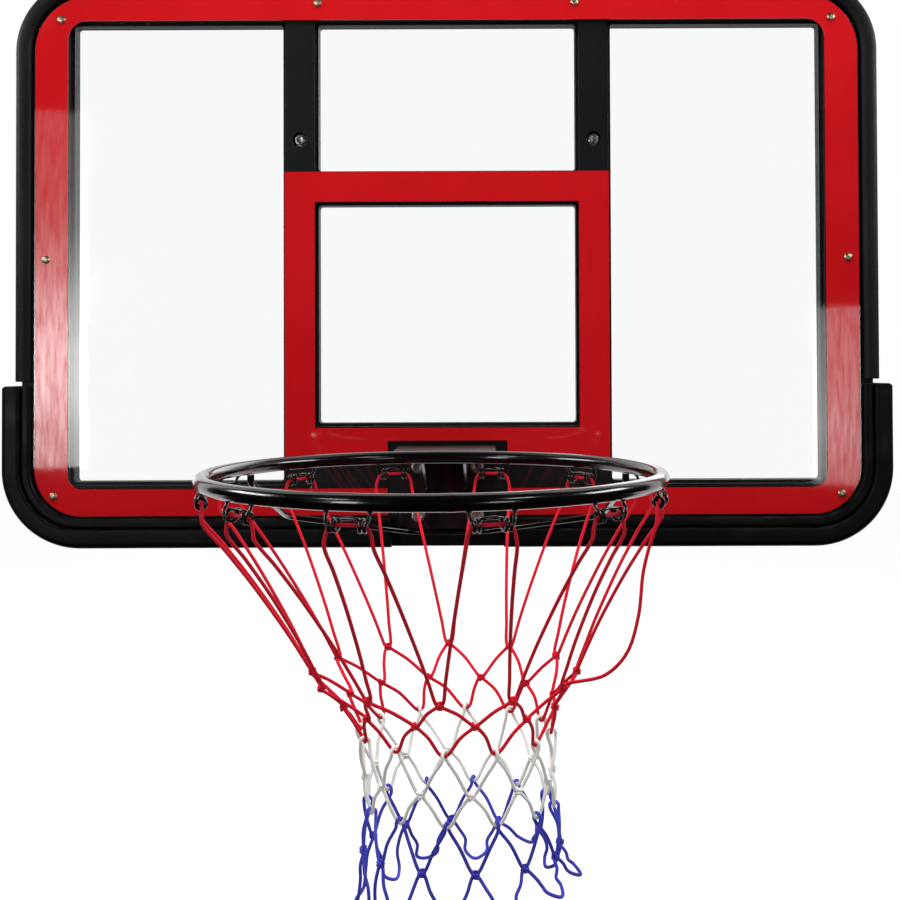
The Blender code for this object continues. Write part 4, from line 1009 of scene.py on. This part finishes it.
for side in (-1, 1):
    outside = side * (middle + 2 * END_ROUND)
    corner = [(outside, below), (outside, above), (side * middle, above)]
    for number in range(9):
        turn = math.radians(90 - 90 * number / 8)
        across = side * (middle + END_ROUND * math.cos(turn))
        corner.append((across, below + END_ROUND * math.sin(turn)))
    cut(pad, slab_mesh("end_round", [corner], -WALL, PAD_FRONT))
ease(pad, 0.0018, 3, 50)
stands_for(pad, "bottom_pad")

# %% [markdown]
# Ten yellow zinc screws hold the sheet. Each has a domed head with a cross recess. The recess is
# cut once with two tapered bars, and all ten screws share that mesh, as ten screws from one box
# do.

# %% Round and hexagonal steel
BRIGHT = (bright_zinc, "bright_zinc")
YELLOW = (yellow_zinc, "yellow_zinc")
HEX_SIDES = 48
HEX_CHAMFER = math.tan(math.radians(28))


def round_row(shape, radius, forward, sides):
    """Corners round the forward axis, or one corner at a tip."""
    if radius == 0:
        return [shape.verts.new((0.0, -forward, 0.0))]
    turns = [2 * math.pi * number / sides for number in range(sides)]
    return [shape.verts.new((radius * math.cos(t), -forward, radius * math.sin(t))) for t in turns]


def skinned(shape, rows, name):
    """A mesh over rows of corners. Loose ends close on each other."""
    for row, after in zip(rows, rows[1:]):
        band(shape, row, after)
    if len(rows[0]) > 1 and len(rows[-1]) > 1:
        band(shape, rows[-1], rows[0])
    return as_mesh(shape, name)


def lathe(name, profile, sides):
    """A round solid about the forward axis, from a profile (radius, forward)."""
    shape = bmesh.new()
    return skinned(shape, [round_row(shape, *spot, sides) for spot in profile], name)


def hexagonal(name, flats, height, hole=0.0):
    """A chamfered hexagon from 0 to its height: a bolt's head, or a nut if it has a hole."""
    shape = bmesh.new()
    face = 0.475 * flats

    def six_sided(low_end):
        row = []
        for number in range(HEX_SIDES):
            turn = 2 * math.pi * number / HEX_SIDES
            from_flat = (math.degrees(turn) % 60) - 30
            reach = flats / 2 / math.cos(math.radians(from_flat))
            drop = (reach - face) * HEX_CHAMFER
            forward = (drop if hole else 0.0) if low_end else height - drop
            row.append(shape.verts.new((reach * math.cos(turn), -forward, reach * math.sin(turn))))
        return row

    below = [] if hole else [(0.0, 0.0), (face, 0.0)]
    above = [(face, height)]
    if hole:
        above += [(hole + 0.0006, height), (hole, height - 0.0008)]
        above += [(hole, 0.0008), (hole + 0.0006, 0.0), (face, 0.0)]
    else:
        above += [(0.6 * face, height), (0.5 * face, height - 0.0003), (0.0, height - 0.0003)]
    rows = [round_row(shape, *spot, HEX_SIDES) for spot in below]
    rows += [six_sided(True), six_sided(False)]
    return skinned(shape, rows + [round_row(shape, *spot, HEX_SIDES) for spot in above], name)


def threaded(radius, start, end, pitch):
    """Thread ridges between two forward distances, as a profile read backward."""
    points = []
    for number in range(round((end - start) / pitch)):
        here = start + pitch * number
        points += [(radius * 0.86, here + 0.1 * pitch), (radius, here + 0.55 * pitch)]
    return points[::-1]


def bolt_mesh(name, flats, height, radius, neck, tip, bare, pitch):
    """A hexagon bolt seated at 0, its shank plain down to the neck and bare at the tip."""
    shank = [(0.0, 0.0010), (radius, 0.0010), (radius, neck)]
    shank += threaded(radius, tip + bare, neck - 0.0005, pitch) + [(0.0, tip)]
    whole = hexagonal(name, flats, height)
    shape = bmesh.new()
    shape.from_mesh(whole)
    shape.from_mesh(lathe("shank", shank, 24))
    shape.to_mesh(whole)
    shape.free()
    return whole


def set_piece(name, mesh, x, forward, z, material, slot, node, spin=0.0):
    """A small turned part, set at its place on the board."""
    piece = as_piece(name, mesh, material, None, 30)
    piece.rotation_euler = (0.0, math.radians(spin), 0.0)
    piece.location = (x, -forward, z)
    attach(piece, "board")
    stands_for(piece, node)

# %% Sheet screws
HEAD_RADIUS = 0.0055
HEAD_HEIGHT = 0.0030
HEAD_RIM = 0.0006
SCREW_RADIUS = 0.0022
SCREW_TIP = -0.0173
RECESS_FLOOR = ((0.0036, 0.0008), HEAD_HEIGHT - 0.0018)
RECESS_MOUTH = ((0.0060, 0.0012), HEAD_HEIGHT + 0.001)
profile = [(0.0, HEAD_HEIGHT)]
for number in range(1, 9):
    turn = math.radians(11.25 * number)
    height = HEAD_RIM + (HEAD_HEIGHT - HEAD_RIM) * math.cos(turn)
    profile.append((HEAD_RADIUS * math.sin(turn), height))
profile += [(HEAD_RADIUS, 0.0), (SCREW_RADIUS, 0.0)]
profile += threaded(SCREW_RADIUS, -0.0150, -0.001, 0.0014) + [(0.0, SCREW_TIP)]
blank = lathe("screw_blank", profile, 32)
screw = as_piece("screw_blank", blank, yellow_zinc, None, 30)
for angle in (0, 90):
    shape = bmesh.new()
    bmesh.ops.create_cube(shape, size=1.0)
    for corner in shape.verts:
        (long, thick), forward = RECESS_FLOOR if corner.co.y > 0 else RECESS_MOUTH
        corner.co = Vector((corner.co.x * long, -forward, corner.co.z * thick))
    bar = as_mesh(shape, "recess")
    bar.transform(Matrix.Rotation(math.radians(angle), 4, "Y"))
    cut(screw, bar)
screw_mesh = screw.data.copy()
bpy.data.objects.remove(screw)
for number, (name, (x, z)) in enumerate(zip(SCREW_NAMES, SCREWS)):
    for side, sign in (("left", -1), ("right", 1)):
        spin = 17 + 53 * number + 31 * sign
        set_piece(f"brass_screw_{name}_{side}", screw_mesh, sign * x, PRINT_FRONT + GAP, z,
                  *YELLOW, f"sheet_screw_{name}_{side}", spin)

# %% [markdown]
# Two zinc hexagon bolts go through the frame's uprights into the wall, each with a washer in a
# round recess. Their threaded shanks stand out behind. Four larger ones hold the rim bracket,
# with their nuts on a steel plate in the frame's rear pocket.

# %% Wall bolts
WALL_STAND_OUT = 0.045
WALL_WASHER = 0.0016
wall_floor = DEPTH - RECESS_DEPTH + GAP
seat = wall_floor + WALL_WASHER + GAP
wall_washer = lathe("wall_washer", [
    (WALL_WAY, 0.0), (0.0083, 0.0), (0.0085, 0.0003),
    (0.0085, 0.0014), (0.0083, WALL_WASHER), (WALL_WAY, WALL_WASHER),
], 40)
tip = -WALL_STAND_OUT - seat
wall_bolt = bolt_mesh("wall_bolt", 0.013, 0.0053, 0.0040, -0.0180, tip, 0.0012, 0.00125)
for side, spin, (x, z) in zip(("left", "right"), (12, 41), WALL_BOLTS):
    set_piece(f"wall_washer_{side}", wall_washer, x, wall_floor, z, *BRIGHT,
              f"wall_bolt_washer_{side}")
    set_piece(f"wall_bolt_head_{side}", wall_bolt, x, seat, z, *BRIGHT, f"wall_bolt_{side}", spin)

# %% Rim bolts
STEEL = 0.004
PLATE_FRONT = DEPTH + GAP + STEEL
WASHER_BACK = PLATE_FRONT + GAP
RIM_WASHER = 0.0020
BACKING = 0.003
RIM_FLATS = 0.017
NUT = 0.008
bolt_seat = WASHER_BACK + RIM_WASHER + GAP
backing_back = POCKET_DEPTH - GAP - BACKING
nut_back = backing_back - GAP - NUT
rim_washer = lathe("rim_washer", [
    (BOLT_WAY, 0.0), (0.0098, 0.0), (0.0100, 0.0003),
    (0.0100, 0.0017), (0.0098, RIM_WASHER), (BOLT_WAY, RIM_WASHER),
], 40)
tip = nut_back - 0.002 - bolt_seat
rim_bolt = bolt_mesh("rim_bolt", RIM_FLATS, 0.0064, 0.0050, -0.0160, tip, 0.001, 0.0015)
rim_nut = hexagonal("rim_nut", RIM_FLATS, NUT, 0.0053)
for index, (x, z) in enumerate(RIM_BOLTS):
    spot = f"{'upper' if index < 2 else 'lower'}_{'left' if x < 0 else 'right'}"
    for kind, mesh, forward, spin in (
        ("washer", rim_washer, WASHER_BACK, 0.0),
        ("bolt", rim_bolt, bolt_seat, 9 + 22 * index),
        ("nut", rim_nut, nut_back, 5 + 17 * index),
    ):
        name = f"bracket_{kind}_{spot}"
        set_piece(name, mesh, x, forward, z, *BRIGHT, f"rim_{kind}_{spot}", spin)
backing_outline = box(-0.058, 0.058, -0.1035, -0.011, 0.003)
backing = slab("backing_plate", [backing_outline] + circles(RIM_BOLTS, BOLT_WAY, 24),
               backing_back, POCKET_DEPTH - GAP, rim_paint)
ease(backing, 0.0005)
stands_for(backing, "rim_backing_plate")

# %% [markdown]
# The rim is one 16 mm bar bent into a ring and butt-welded at the front, where a low band still
# shows under the paint. Its top plate is welded to the ring's rear. A weld bead is a tube with
# ripples, which follow each other as the welder moves along.

# %% Ring
BAR = 0.008
RING = 0.2286 + BAR
REACH = SHEET_FRONT + 0.3775
SEAM_DEGREES = -83.4
WELD = 0.0017
WELD_HALF = 0.064
WELD_STEPS = 12


def ring_point(degrees, along=0.0, outward=0.0, up=0.0):
    """A point by its angle round the ring, with offsets from the ring's line."""
    angle = math.radians(degrees) + along / RING
    radius = RING + outward
    return Vector((radius * math.cos(angle), -REACH + radius * math.sin(angle), up))


ring_line = []
ring_swell = []
for number in range(360):
    degrees = number + 0.5
    away = (degrees - SEAM_DEGREES + 180) % 360 - 180
    seam = 0.035 * math.exp(-(away / 0.9) ** 2)
    ring_line.append(ring_point(degrees))
    ring_swell.append(1.0 + seam + 0.0015 * math.sin(math.radians(7 * degrees)))
ring = tube("hoop_ring", ring_line, BAR, 28, closed=True, swell=ring_swell)
stands_for(ring, "rim_ring")


def weld_bead(name, points):
    """A rippled bead of weld along points of the ring."""
    line = eased_line(points, 0.0006)
    swell = [0.86 + 0.16 * abs(math.sin(0.95 * index)) + 0.05 * math.sin(0.37 * index)
             for index in range(len(line))]
    swell[0] = swell[-1] = 0.35
    stands_for(tube(name, line, WELD, 10, swell=swell), "rim_ring")


weld_half = math.degrees(WELD_HALF / (RING + BAR))
for place, out, up in (("upper", 0.0072, 0.0052), ("lower", 0.0078, -0.0004)):
    turns = [weld_half - 2 * weld_half * step / WELD_STEPS for step in range(WELD_STEPS + 1)]
    points = [ring_point(90 + turn, 0.0, out, up) for turn in turns]
    weld_bead(f"ring_weld_{place}", points)

# %% [markdown]
# The bracket is 4 mm steel bent once: an upright plate in the sheet's notch and a top plate out
# to the ring. Two gussets stiffen it underneath. It is drawn as a side outline and given its
# width, then the ring's own curve is cut from its front edge.

# %% Bracket and gussets
def side_slab(name, outline, left, right, material):
    """A flat piece with an outline in forward distance and Z, from one X to another."""
    shape = bmesh.new()
    near = [shape.verts.new((left, -forward, up)) for forward, up in outline]
    away = [shape.verts.new((right, -forward, up)) for forward, up in outline]
    band(shape, near, away)
    shape.faces.new(near)
    shape.faces.new(away[::-1])
    return as_piece(name, as_mesh(shape, name), material)


PLATE_BACK = DEPTH + GAP
PLATE_TOP = 0.005
PLATE_LOW = -0.1097
PLATE_HALF = 0.066
under = PLATE_TOP - STEEL
reach = REACH - RING + BAR
plate = side_slab("bracket_plate", rounded([
    (PLATE_BACK, PLATE_LOW, 0), (PLATE_FRONT, PLATE_LOW, 0), (PLATE_FRONT, under, 0.002),
    (reach, under, 0), (reach, PLATE_TOP, 0), (PLATE_BACK, PLATE_TOP, 0.006),
], 9.0), -PLATE_HALF, PLATE_HALF, bracket_paint)
clear = RING + BAR + GAP
disc = lathe("disc", [(0.0, -0.03), (clear, -0.03), (clear, 0.03), (0.0, 0.03)], 240)
level = Matrix.Rotation(math.radians(90), 4, "X")
disc.transform(Matrix.Translation((0.0, -REACH, 0.0)) @ level)
cut(plate, disc)
cut(plate, slab_mesh("bolt_ways", circles(RIM_BOLTS, BOLT_WAY, 24), 0.02, 0.06))
ease(plate, 0.0006)
stands_for(plate, "rim_bracket")

GUSSET_X = 0.0265
GUSSET_HALF = STEEL / 2
face = PLATE_FRONT + GAP
top = under - GAP
foot = PLATE_LOW + 0.004
end = REACH - RING - BAR - 0.003
gusset_outline = rounded([
    (face, foot, 0), (face + 0.012, foot, 0.001), (face + 0.024, foot + 0.048, 0.060),
    (end, top - 0.010, 0.001), (end, top, 0), (face + 0.002, top, 0), (face, top - 0.002, 0),
], 4.0)
for side, x in (("left", -GUSSET_X), ("right", GUSSET_X)):
    left, right = x - GUSSET_HALF, x + GUSSET_HALF
    gusset = side_slab(f"bracket_gusset_{side}", gusset_outline, left, right, rim_paint)
    ease(gusset, 0.0004)
    stands_for(gusset, f"rim_gusset_{side}")

# %% [markdown]
# A bent rod braces the ring from below. It leaves the ring at the sides, comes back to the board
# and passes under the bracket in one piece. Rounding each corner with its own small curve keeps
# it a bent bar and not a mitred one.

# %% Brace rod
def bent(route, reach_each, steps):
    """A route with rounded corners, each from a set reach before it to the same after."""
    points = [route[0]]
    for before, corner, after in zip(route, route[1:], route[2:]):
        back = before - corner
        ahead = after - corner
        start = corner + back.normalized() * min(reach_each, 0.4 * back.length)
        end = corner + ahead.normalized() * min(reach_each, 0.4 * ahead.length)
        for step in range(steps + 1):
            share = step / steps
            points.append(start.lerp(corner, share).lerp(corner.lerp(end, share), share))
    return points + [route[-1]]


BRACE = 0.004
BRACE_DEGREES = 25.8
BRACE_BEND = 0.018
half_route = [
    ring_point(BRACE_DEGREES, 0, 0, -(BAR + GAP)), ring_point(BRACE_DEGREES, 0, 0, -(BAR + 0.010)),
    (0.203, -(SHEET_FRONT + 0.104), -0.078), (0.084, -(SHEET_FRONT + 0.029), -0.1045),
    (0.046, -PLATE_FRONT, -0.114),
]
brace_route = [Vector(point) for point in mirrored(half_route)]
brace = tube("brace_rod", bent(brace_route, BRACE_BEND, 10), BRACE, 20)
stands_for(brace, "ring_brace")

# %% [markdown]
# Twelve wire hooks hang the net. Each is one wire welded under the ring: down a leg, round an eye
# nearly twice, over a short bridge, round the other eye and up again. The eyes are helices about
# the ring's own direction, so a cord passes through both.

# %% Net hooks
WIRE = 0.0016
EYE = 0.0052
EYE_Z = -(BAR + 0.0118)
EYE_OUT = 0.0165
EYE_IN = 0.0090
EYE_TURNS = 1.75
EYE_STEPS = 36
HOOKS = 12
PITCH = 360 / HOOKS
HALF_PITCH = PITCH / 2


def hook_line(degrees):
    """The wire's line of one hook."""
    eye = []
    for step in range(EYE_STEPS + 1):
        turn = -2 * math.pi * EYE_TURNS * step / EYE_STEPS
        along = EYE_OUT + (EYE_IN - EYE_OUT) * step / EYE_STEPS
        eye.append((-along, EYE * math.cos(turn), EYE_Z + EYE * math.sin(turn)))
    top = -(BAR + GAP)
    leg = [(-0.020, 0.0, top), (-0.0198, 0.0018, (2 * top + EYE_Z) / 3)]
    leg += [(-0.0185, 0.0044, (top + 2 * EYE_Z) / 3)]
    half_wire = leg + eye
    bridge = [(0.0, 0.0, EYE_Z + EYE + 0.001)]
    whole = half_wire + bridge + [(-along, out, up) for along, out, up in reversed(half_wire)]
    return eased_line([ring_point(degrees, *point) for point in whole], 0.0016)


for number in range(HOOKS):
    hook = tube(f"wire_hook_{number + 1:02d}", hook_line(PITCH * (number + 0.5)), WIRE, 12)
    stands_for(hook, f"net_hook_{number + 1:02d}")

# %% Hook welds
BLOB = 0.0024
FOOT_ALONG = 0.0200
shape = bmesh.new()
for number in range(HOOKS):
    for side in (-1, 1):
        blob = bmesh.ops.create_icosphere(shape, subdivisions=2, radius=BLOB)
        spot = ring_point(PITCH * (number + 0.5), side * FOOT_ALONG, 0.0, -BAR)
        for vert in blob["verts"]:
            x, y, z = vert.co
            lumpy = 1 + 0.14 * math.sin(2300 * x + number) * math.cos(1900 * y + side)
            vert.co = spot + Vector((x * 1.25, y * 1.15, z * 0.62)) * lumpy
welds = as_piece("hook_welds", as_mesh(shape, "hook_welds"), rim_paint, "board", 80)
stands_for(welds, "rim_ring")

# %% [markdown]
# The net is knotted from one cord colour after another. The red cord runs through the hooks' eyes
# and down to a knot between each two hooks, then zigzags twice. White and blue follow, each
# looped through the lowest turns of the colour above. A row is an oval at its own height, and the
# whole net leans a little to one side, as a light new net does.

# %% Net rows
CORD = 0.0018
NET_SHIFT = 0.022
# Each row: height, half width, half depth, shift to the right, and twist in degrees.
ROWS = {
    1: (-0.204, 0.138, 0.122, 0.011, 0),
    2: (-0.234, 0.112, 0.092, 0.017, -1),
    3: (-0.266, 0.100, 0.080, 0.022, -5),
    4: (-0.309, 0.098, 0.070, 0.026, -7),
    5: (-0.341, 0.098, 0.065, 0.027, -7),
    6: (-0.385, 0.103, 0.070, 0.029, -7),
    7: (-0.440, 0.104, 0.075, 0.030, -7),
}


def net_point(row, degrees, along=0.0, outward=0.0, up=0.0):
    """A point on a row of the net, with offsets along the row, outward and up."""
    height, wide, deep, shift, twist = ROWS[row]
    angle = math.radians(degrees + twist)
    out = Vector((math.cos(angle), math.sin(angle), 0.0))
    way = Vector((-out.y, out.x, 0.0))
    spot = Vector((shift + wide * out.x, -REACH + deep * out.y, height))
    return spot + way * along + out * outward + Vector((0.0, 0.0, up))


def between(start, end, share, bulge):
    """A point on the way between two, pushed out from the net's middle."""
    spot = start.lerp(end, share)
    out = Vector((spot.x - NET_SHIFT, spot.y + REACH, 0.0)).normalized()
    return spot + out * bulge

# %% Turns of the cords
def turn_of(half, rise, foot=0.0, outward=0.0):
    """A cord's turn of three points: one at each side, above its middle one by a rise."""
    def turn(row, degrees):
        spots = ((-half, rise), (0.0, foot), (half, rise))
        return [net_point(row, degrees, along, outward, up) for along, up in spots]
    return turn


knot_turn = turn_of(0.0032, 0.0015, -0.0015)  # inside a knot
plain_turn = turn_of(0.0030, 0.0018)  # against the cord below
hidden_turn = turn_of(0.0026, -0.0018, 0.0, -0.0007)  # the lower cord in the same knot
bottom_turn = turn_of(0.0042, 0.0022)  # the lowest turn, which the next colour hangs from
LINK_DEGREES = (-25, 30, 90, 150, 205)
LINK_REACH = 0.005


def link_turn(row, degrees):
    """A turn over the lowest turn of the colour above: out in front, over, down behind."""
    points = []
    for turn in LINK_DEGREES:
        out = math.cos(math.radians(turn))
        up = math.sin(math.radians(turn))
        points.append(net_point(row, degrees, -0.001 * out, LINK_REACH * out, LINK_REACH * up))
    return points


LOOP_HALF = 0.012
LOOP_RISES = (0.030, 0.022, 0.030, 0.016, 0.010, 0.004,
              -0.004, -0.010, -0.006, 0.002, 0.018, 0.028)
LOOP_SWAYS = (0.018, -0.010, 0.012, -0.014, 0.008, -0.012,
              0.010, -0.012, 0.010, -0.014, 0.016, 0.020)


def loop_turn(row, degrees):
    """A long loop at the foot of the net, which sways in or out. No two loops hang alike."""
    number = round(degrees / PITCH) % HOOKS
    rise = LOOP_RISES[number]
    sway = LOOP_SWAYS[number]
    upper = (sway / 4, 2 * LOOP_HALF + rise / 2)
    lower = (sway / 2, 0.5 * LOOP_HALF + rise)
    return [
        net_point(row, degrees, -LOOP_HALF, *upper), net_point(row, degrees, -LOOP_HALF, *lower),
        net_point(row, degrees, 0.0, sway, rise),
        net_point(row, degrees, LOOP_HALF, *lower), net_point(row, degrees, LOOP_HALF, *upper),
    ]


def zigzag(upper, upper_turn, lower, lower_turn, start, lift):
    """A closed cord line between upper and lower turns. lift arches it in between."""
    points = []
    for number in range(HOOKS):
        degrees = start + PITCH * number
        top = upper_turn(upper, degrees)
        low = lower_turn(lower, degrees + HALF_PITCH)
        following = upper_turn(upper, degrees + PITCH)
        for turn, after in ((top, low), (low, following)):
            points += turn
            points.append(between(turn[-1], after[0], 0.5, 0.002) + Vector((0.0, 0.0, lift)))
    return eased_line(points, 0.0028, closed=True)

# %% Red top cord
HALF_ARCH = ((0.0225, EYE_Z - 0.0180), (0.0215, EYE_Z - 0.0110),
             (0.0195, EYE_Z - 0.0050), (0.0165, EYE_Z - 0.0012))
LEG_BULGES = ((0.16, -0.0030), (0.35, -0.0053), (0.52, -0.0056), (0.70, -0.0048), (0.86, -0.0026))
SLACK_HOOK = 10
SLACK_BULGES = ((0.14, 0.0060), (0.30, 0.0146), (0.56, 0.0340), (0.78, 0.0430), (0.92, 0.0340))


def arch(degrees):
    """The cord's way through the two eyes of one hook, bending down outside each."""
    spots = [(-along, up) for along, up in HALF_ARCH] + [(0.0, EYE_Z + 0.0003)]
    spots += reversed(HALF_ARCH)
    return [ring_point(degrees, along, 0.0, up) for along, up in spots]


def leg(start, end, bulges):
    """Points between a hook and a knot, each a share of the way with its bulge outward."""
    out = Vector((start.x, start.y + REACH, 0.0)).normalized()
    return [start.lerp(end, share) + out * bulge for share, bulge in bulges]


top_points = []
for number in range(HOOKS):
    degrees = PITCH * (number + 0.5)
    way = arch(degrees)
    knot = knot_turn(1, degrees + HALF_PITCH)
    following = arch(degrees + PITCH)
    climb = leg(following[0], knot[-1], SLACK_BULGES if number == SLACK_HOOK else LEG_BULGES)
    top_points += way + leg(way[-1], knot[0], LEG_BULGES) + knot + climb[::-1]
top_line = eased_line(top_points, 0.0032, closed=True)

# %% [markdown]
# Each knot is a short coil of the same cord round the crossing, about two turns, pulled tight.
# Drawing the coil itself, and not a lump, gives the knots their real shape from every side.

# %% Knots
KNOT_TURNS = 2.2
KNOT_HEIGHT = 0.0062
KNOT_STEPS = 26
KNOT_RADIUS = 0.0031
KNOT_TAPER = 0.0009


def knot_coil(row, degrees, seed):
    """The coil of one knot."""
    lean = 0.35 * math.sin(2.1 * seed)
    line = []
    for step in range(KNOT_STEPS + 1):
        share = step / KNOT_STEPS
        angle = 2 * math.pi * KNOT_TURNS * share + 0.7 * seed
        radius = KNOT_RADIUS - KNOT_TAPER * abs(2 * share - 1) ** 3
        rise = (share - 0.5) * KNOT_HEIGHT
        along = radius * math.cos(angle) + lean * rise
        line.append(net_point(row, degrees, along, radius * math.sin(angle), rise))
    return line

# %% Three colours of net
RED_LOOPS = [top_line, zigzag(1, hidden_turn, 2, plain_turn, 0, 0.0025),
             zigzag(2, hidden_turn, 3, bottom_turn, HALF_PITCH, 0.004)]
WHITE_LOOPS = [zigzag(3, link_turn, 4, knot_turn, 0, 0.002),
               zigzag(4, hidden_turn, 5, bottom_turn, HALF_PITCH, 0.003)]
BLUE_LOOPS = [zigzag(5, link_turn, 6, plain_turn, 0, 0.002),
              zigzag(6, hidden_turn, 7, loop_turn, HALF_PITCH, 0.0)]
# Each colour: its loops, its rows of knots as (row, first angle, seed), and its two bodies with
# two heights.
TIERS = {
    "red": (RED_LOOPS, [(1, 0, 0), (2, HALF_PITCH, 5)], red_plait,
            "board", "red_tier", -0.030, -0.190),
    "white": (WHITE_LOOPS, [(4, HALF_PITCH, 3)], white_plait,
              "red_tier", "white_tier", -0.262, -0.302),
    "blue": (BLUE_LOOPS, [(6, HALF_PITCH, 8)], blue_plait,
             "white_tier", "blue_tier", -0.337, -0.378),
}
for colour, (loops, knot_rows, plait, upper_body, lower_body, start, end) in TIERS.items():
    shape = bmesh.new()
    total = sum(add_tube(shape, line, CORD, 10, closed=True) for line in loops)
    knots = [knot_coil(row, first + PITCH * number, number + seed)
             for row, first, seed in knot_rows for number in range(HOOKS)]
    total += sum(add_tube(shape, line, 0.9 * CORD, 8) for line in knots)
    cords = as_piece(f"{colour}_cords", as_mesh(shape, f"{colour}_cords"), plait, None, 75)
    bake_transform(cords)
    print(cords.name, "cord length", round(total, 2), "m", "knots", len(knots))
    stands_for(cords, f"net_{colour}")

# %% Measure and finish
low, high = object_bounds()
print("visual box:", [round(b - a, 4) for a, b in zip(low, high)])
